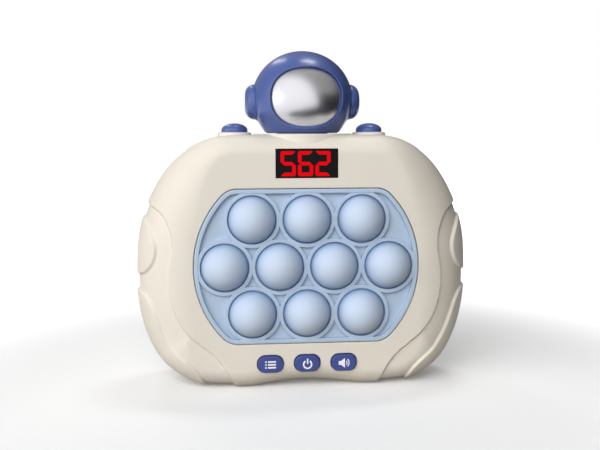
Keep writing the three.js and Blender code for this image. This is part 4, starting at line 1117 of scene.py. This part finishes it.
def helmet():
    outer = helmet_profile(0.0, HELMET_BASE)
    inner = helmet_profile(HELMET_WALL, HELMET_BASE + HELMET_WALL)[::-1]
    edge, up = HELMET_BASE_EDGE
    profile = outer[:-1] + [(outer[-1][0], HELMET_BASE + up), (HELMET_BASE_RADIUS - edge, HELMET_BASE)]
    profile += [*HELMET_SPIGOT, (HELMET_SPIGOT[-1][0], HELMET_BASE + HELMET_WALL), *inner]
    for side, name in ((-1, "front"), (1, "rear")):
        ball = turned(f"helmet_{name}_dressed", profile, (0, 0, 0), "z", 144, HELMET_STRETCH)
        keep_half(ball, side, SEAM_GAP / 4)
        if side < 0:
            boolean(ball, [visor_cut()], "DIFFERENCE")
        finish_piece(ball, "casing", navy_abs, (f"helmet_{name}",))


def visor():
    outline = visor_outline(VISOR_OVERLAP) - VISOR_CENTRE
    rings = []
    for depth, shares in ((0, VISOR_FRONT_ROWS), (VISOR_THICKNESS, VISOR_BACK_ROWS)):
        for share in shares:
            flat = VISOR_CENTRE + outline * share
            rings.append(flat_ring(flat, helmet_skin(flat, VISOR_SET) + depth))
    shield = loft("visor_shield", rings)
    return finish_piece(shield, "casing", visor_mirror, ("visor",))


def ear(side, node):
    profile = [(0, EAR_ROOT)] + [(EAR_RADIUS + wider, EAR_ROOT + up) for wider, up in EAR_FOOT]
    profile += arc((EAR_RADIUS - EAR_ROUND, EAR_TIP - EAR_ROUND), EAR_ROUND, 0, 90, 11) + [(0, EAR_TIP)]
    profile = [(radius, side * along) for radius, along in profile]
    cap = turned(f"{node}_dressed", profile, (0, 0, EAR_CENTRE), "x", 96)
    seat = helmet_profile(-EAR_SEAT_GAP, HELMET_BASE) + [(0, HELMET_BASE)]
    boolean(cap, [turned("ear_seat", seat, (0, 0, 0), "z", 144, HELMET_STRETCH)], "DIFFERENCE")
    return finish_piece(cap, "casing", navy_abs, (node,))


# Rear pieces

def battery_door():
    rows = [(-DOOR_CORNER, DOOR_FACE), *arc((-DOOR_EDGE, DOOR_FACE - DOOR_EDGE), DOOR_EDGE, 90, 0, 5)]
    rows += [(0.0, DOOR_BACK)]
    cover = loft("battery_cover", [flat_ring(door_outline(grow), y) for grow, y in rows])
    top = DOOR_CENTRE[1] + DOOR_SIZE[1] / 2 - GROOVE_DROP
    corner = GROOVE_SIZE[1] / 2 - ROUND_END
    cuts = []
    for k in range(GROOVES):
        place = (0, top - k * GROOVE_PITCH)
        outline = lambda grow: rounded_rectangle(*GROOVE_SIZE, corner, place, 5, grow)
        cuts.append(flared_cut("grip_groove", outline, DOOR_FACE, DOOR_FACE - GROOVE_DEPTH, GROOVE_EDGE))
    place = axis_of("battery_door_screw")
    cuts.append(turned("screw_pocket", DOOR_SCREW_POCKET, place))
    cuts.append(rod("screw_hole", *DOOR_SCREW_HOLE, place))
    carve(cover, cuts, "DIFFERENCE")
    return finish_piece(cover, "battery_door", cream_abs, ("battery_door",))


def screw(node, body):
    low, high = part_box(node)
    x, _, z = place_of(node)
    tip, top = low.y / MM - SEAM_Y, high.y / MM - SEAM_Y
    radius = (high.x - low.x) / MM / 2
    end, point = SHANK_TIP
    profile = [(0, tip), (end, tip), (SHANK_RADIUS, tip + point), (SHANK_RADIUS, top - HEAD_HEIGHT)]
    profile += [(radius, top - HEAD_HEIGHT)]
    profile += [(radius - inward, top - down) for inward, down in HEAD_ROUND_ROWS]
    made = turned(f"{node}_dressed", profile + [(0, top)], (x, 0, z), segments=40)
    long, thin, deep = CROSS_ARM
    arms = [
        block("cross_arm", (x - a, top - deep, z - b), (x + a, top + OVERRUN / 2, z + b))
        for a, b in ((long, thin), (thin, long))
    ]
    carve(made, arms, "DIFFERENCE")
    return finish_piece(made, body, plated_steel, (node,))


def cell(node):
    low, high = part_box(node)
    left, right = low.x / MM, high.x / MM
    profile = [(radius, left + along) for radius, along in CELL_LEFT]
    profile += [(radius, right - along) for radius, along in CELL_RIGHT]
    made = turned(f"{node}_dressed", profile, place_of(node) * (0, 1, 1), "x", 56)
    return finish_piece(made, "casing", cell_jacket, (node,))


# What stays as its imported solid, with its own finish
KEPT = {
    "main_board": solder_mask,
    "key_board": solder_mask,
    "display_module": black_nylon,
    "speaker": paper_cone,
    "contact_left": plated_steel,
    "contact_right": plated_steel,
    **{f"tact_switch_{k}": black_nylon for k in range(1, 11)},
    **{f"plunger_{k}": milky_polystyrene for k in range(1, 11)},
}


def dress_kept():
    for node, look in KEPT.items():
        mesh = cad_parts[node].data
        mesh.materials.clear()
        mesh.materials.append(look)


# Studio

def make_camera():
    data = bpy.data.cameras.new("photo_camera")
    data.lens = CAMERA_LENS
    data.sensor_width = CAMERA_SENSOR
    data.clip_start = 0.01
    camera = show("photo_camera", data)
    turn = Matrix.Rotation(-math.radians(CAMERA_YAW), 4, "Z")
    turn @= Matrix.Rotation(math.pi / 2 - math.radians(CAMERA_PITCH), 4, "X")
    turn @= Matrix.Rotation(math.radians(CAMERA_ROLL), 4, "Z")
    place = Vector(CAMERA_PLACE) + Vector((0, SEAM_Y, 0))
    camera.matrix_world = Matrix.Translation(place * MM) @ turn
    bpy.context.scene.camera = camera


def lamp(name, place, size, power, mirrored):
    data = bpy.data.lights.new(name, "AREA")
    data.shape = "RECTANGLE"
    data.size, data.size_y = size
    data.energy = power
    made = show(name, data)
    back = (Vector(place) - Vector(LAMP_AIM)).normalized()
    level = Vector((0, 1, 0)) if abs(back.x) > 0.8 else Vector((1, 0, 0))
    across = (level - back * level.dot(back)).normalized()
    turn = Matrix((across, back.cross(across), back)).transposed().to_4x4()
    made.matrix_world = Matrix.Translation(Vector(place)) @ turn
    made.visible_glossy = mirrored


def ground_paint(tree):
    """Matt white that keeps the shadow and glows to white away from the object.

    Gives the whole as the camera sees it, its matt part and the strength of its glow.
    """
    matt = add(tree, "ShaderNodeBsdfDiffuse", {"Color": paint("#FFFFFF")})
    where = add(tree, "ShaderNodeTexCoord").outputs["Object"]
    away = add(tree, "ShaderNodeVectorMath", {0: where}, operation="LENGTH")
    least, near, far = GROUND_LIFT
    glow = add(
        tree, "ShaderNodeMapRange",
        {"Value": away.outputs["Value"], "From Min": near, "From Max": far, "To Min": least, "To Max": 1.0},
        interpolation_type="SMOOTHSTEP",
    )
    lift = add(tree, "ShaderNodeEmission", {"Color": paint("#FFFFFF"), "Strength": glow.outputs[0]})
    return add(tree, "ShaderNodeAddShader", {0: matt.outputs[0], 1: lift.outputs[0]}), matt, glow


def make_floor():
    """A white floor that gives back less light than the camera sees."""
    look, tree = start_material("white_ground")
    path = add(tree, "ShaderNodeLightPath")
    bounce = add(tree, "ShaderNodeBsdfDiffuse", {"Color": paint(GROUND_BOUNCE)})
    both, matt, glow = ground_paint(tree)
    white = add(tree, "ShaderNodeEmission", {"Color": paint("#FFFFFF"), "Strength": 1.0})
    mirror = add(tree, "ShaderNodeMixShader", {0: glow.outputs[0], 1: matt.outputs[0], 2: white.outputs[0]})
    mirrored = add(
        tree, "ShaderNodeMath",
        {0: path.outputs["Is Glossy Ray"], 1: path.outputs["Is Transmission Ray"]},
        operation="MAXIMUM",
    )
    unseen = add(
        tree, "ShaderNodeMixShader", {0: mirrored.outputs[0], 1: bounce.outputs[0], 2: mirror.outputs[0]},
    )
    mixed = add(
        tree, "ShaderNodeMixShader",
        {0: path.outputs["Is Camera Ray"], 1: unseen.outputs[0], 2: both.outputs[0]},
    )
    add(tree, "ShaderNodeOutputMaterial", {"Surface": mixed.outputs[0]})
    far = GROUND_HALF
    corners = [(-far, -far, 0), (far, -far, 0), (far, far, 0), (-far, far, 0)]
    make_sheet("ground", corners, [(0, 1, 2, 3)], look)


def toward_way(tree, way, middle, edge, most):
    """A value that rises from 0 to most, round one direction of the room."""
    near = add(
        tree, "ShaderNodeVectorMath", {0: way, 1: Vector(middle).normalized()}, operation="DOT_PRODUCT",
    )
    value = add(
        tree, "ShaderNodeMapRange",
        {"Value": near.outputs["Value"], "From Min": edge[0], "From Max": edge[1], "To Max": most},
        interpolation_type="SMOOTHSTEP",
    )
    return value.outputs[0]


def make_world():
    """White to the camera; the object is lit by a wide softbox at the front left of a dim room."""
    world = bpy.data.worlds.new("studio")
    bpy.context.scene.world = world
    world.use_nodes = True
    tree = world.node_tree
    tree.nodes.clear()
    path = add(tree, "ShaderNodeLightPath")
    white = add(tree, "ShaderNodeBackground", {"Color": paint("#FFFFFF"), "Strength": 1.0})
    way = add(tree, "ShaderNodeTexCoord").outputs["Generated"]
    light = []
    for dim, bright, middle, edge, operation, *other in ROOMS:
        softbox = toward_way(tree, way, middle, edge, 1.0)
        even = add(tree, "ShaderNodeMapRange", {"Value": softbox, "To Min": dim, "To Max": bright})
        second = toward_way(tree, way, *other)
        total = add(tree, "ShaderNodeMath", {0: even.outputs[0], 1: second}, operation=operation)
        settings = {"Color": paint("#FFFFFF"), "Strength": total.outputs[0]}
        light.append(add(tree, "ShaderNodeBackground", settings))
    room = add(
        tree, "ShaderNodeMixShader",
        {0: path.outputs["Is Glossy Ray"], 1: light[0].outputs[0], 2: light[1].outputs[0]},
    )
    seen = add(
        tree, "ShaderNodeMath",
        {0: path.outputs["Is Camera Ray"], 1: path.outputs["Is Transmission Ray"]},
        operation="MAXIMUM",
    )
    mixed = add(tree, "ShaderNodeMixShader", {0: seen.outputs[0], 1: room.outputs[0], 2: white.outputs[0]})
    add(tree, "ShaderNodeOutputWorld", {"Surface": mixed.outputs[0]})


def black_card(name, on_ground):
    """Black felt that mirrors and lights see; to the camera it is the ground it lies on, or clear."""
    look, tree = start_material(name)
    felt = drifting(tree, paint("#1C1C1E"), paint("#262628"), 3)
    card = add(tree, "ShaderNodeBsdfDiffuse", {"Color": felt})
    path = add(tree, "ShaderNodeLightPath")
    shown = ground_paint(tree)[0] if on_ground else add(tree, "ShaderNodeBsdfTransparent")
    mixed = add(
        tree, "ShaderNodeMixShader",
        {0: path.outputs["Is Camera Ray"], 1: card.outputs[0], 2: shown.outputs[0]},
    )
    add(tree, "ShaderNodeOutputMaterial", {"Surface": mixed.outputs[0]})
    return look


def make_sheet(name, corners, faces, look):
    """A flat piece of the studio."""
    mesh = bpy.data.meshes.new(name)
    mesh.from_pydata(corners, [], faces)
    mesh.materials.append(look)
    show(name, mesh)


def make_cards():
    """Black cards out of the picture that darken the right flanks, the foot and part of the visor."""
    corners = [(x, y, z) for x, y in SIDE_CARD for z in SIDE_CARD_ENDS]
    faces = [(2 * k, 2 * k + 2, 2 * k + 3, 2 * k + 1) for k in range(len(SIDE_CARD) - 1)]
    make_sheet("side_card", corners, faces, black_card("black_card", False))
    corners = [(x, y, FRONT_CARD_LIFT) for x, y in FRONT_CARD]
    make_sheet("front_card", corners, [tuple(range(len(corners)))], black_card("black_ground_card", True))


make_camera()
casing_skin = Casing()
front_casing(casing_skin)
rear_casing(casing_skin)
panel()
for name in BUBBLES:
    bubble(name)
display()
for name in KEYS:
    key(name)
for name in SHOULDER_BUTTONS:
    shoulder_button(name)
helmet()
visor()
ear(-1, "ear_cap_left")
ear(1, "ear_cap_right")
battery_door()
for name in CASE_SCREWS:
    screw(name, "casing")
screw("battery_door_screw", "battery_door")
for number in range(1, 4):
    cell(f"battery_{number}")
dress_kept()
make_floor()
make_cards()
make_world()
for values in LAMPS:
    lamp(*values)

bpy.context.scene.view_settings.view_transform = "Standard"
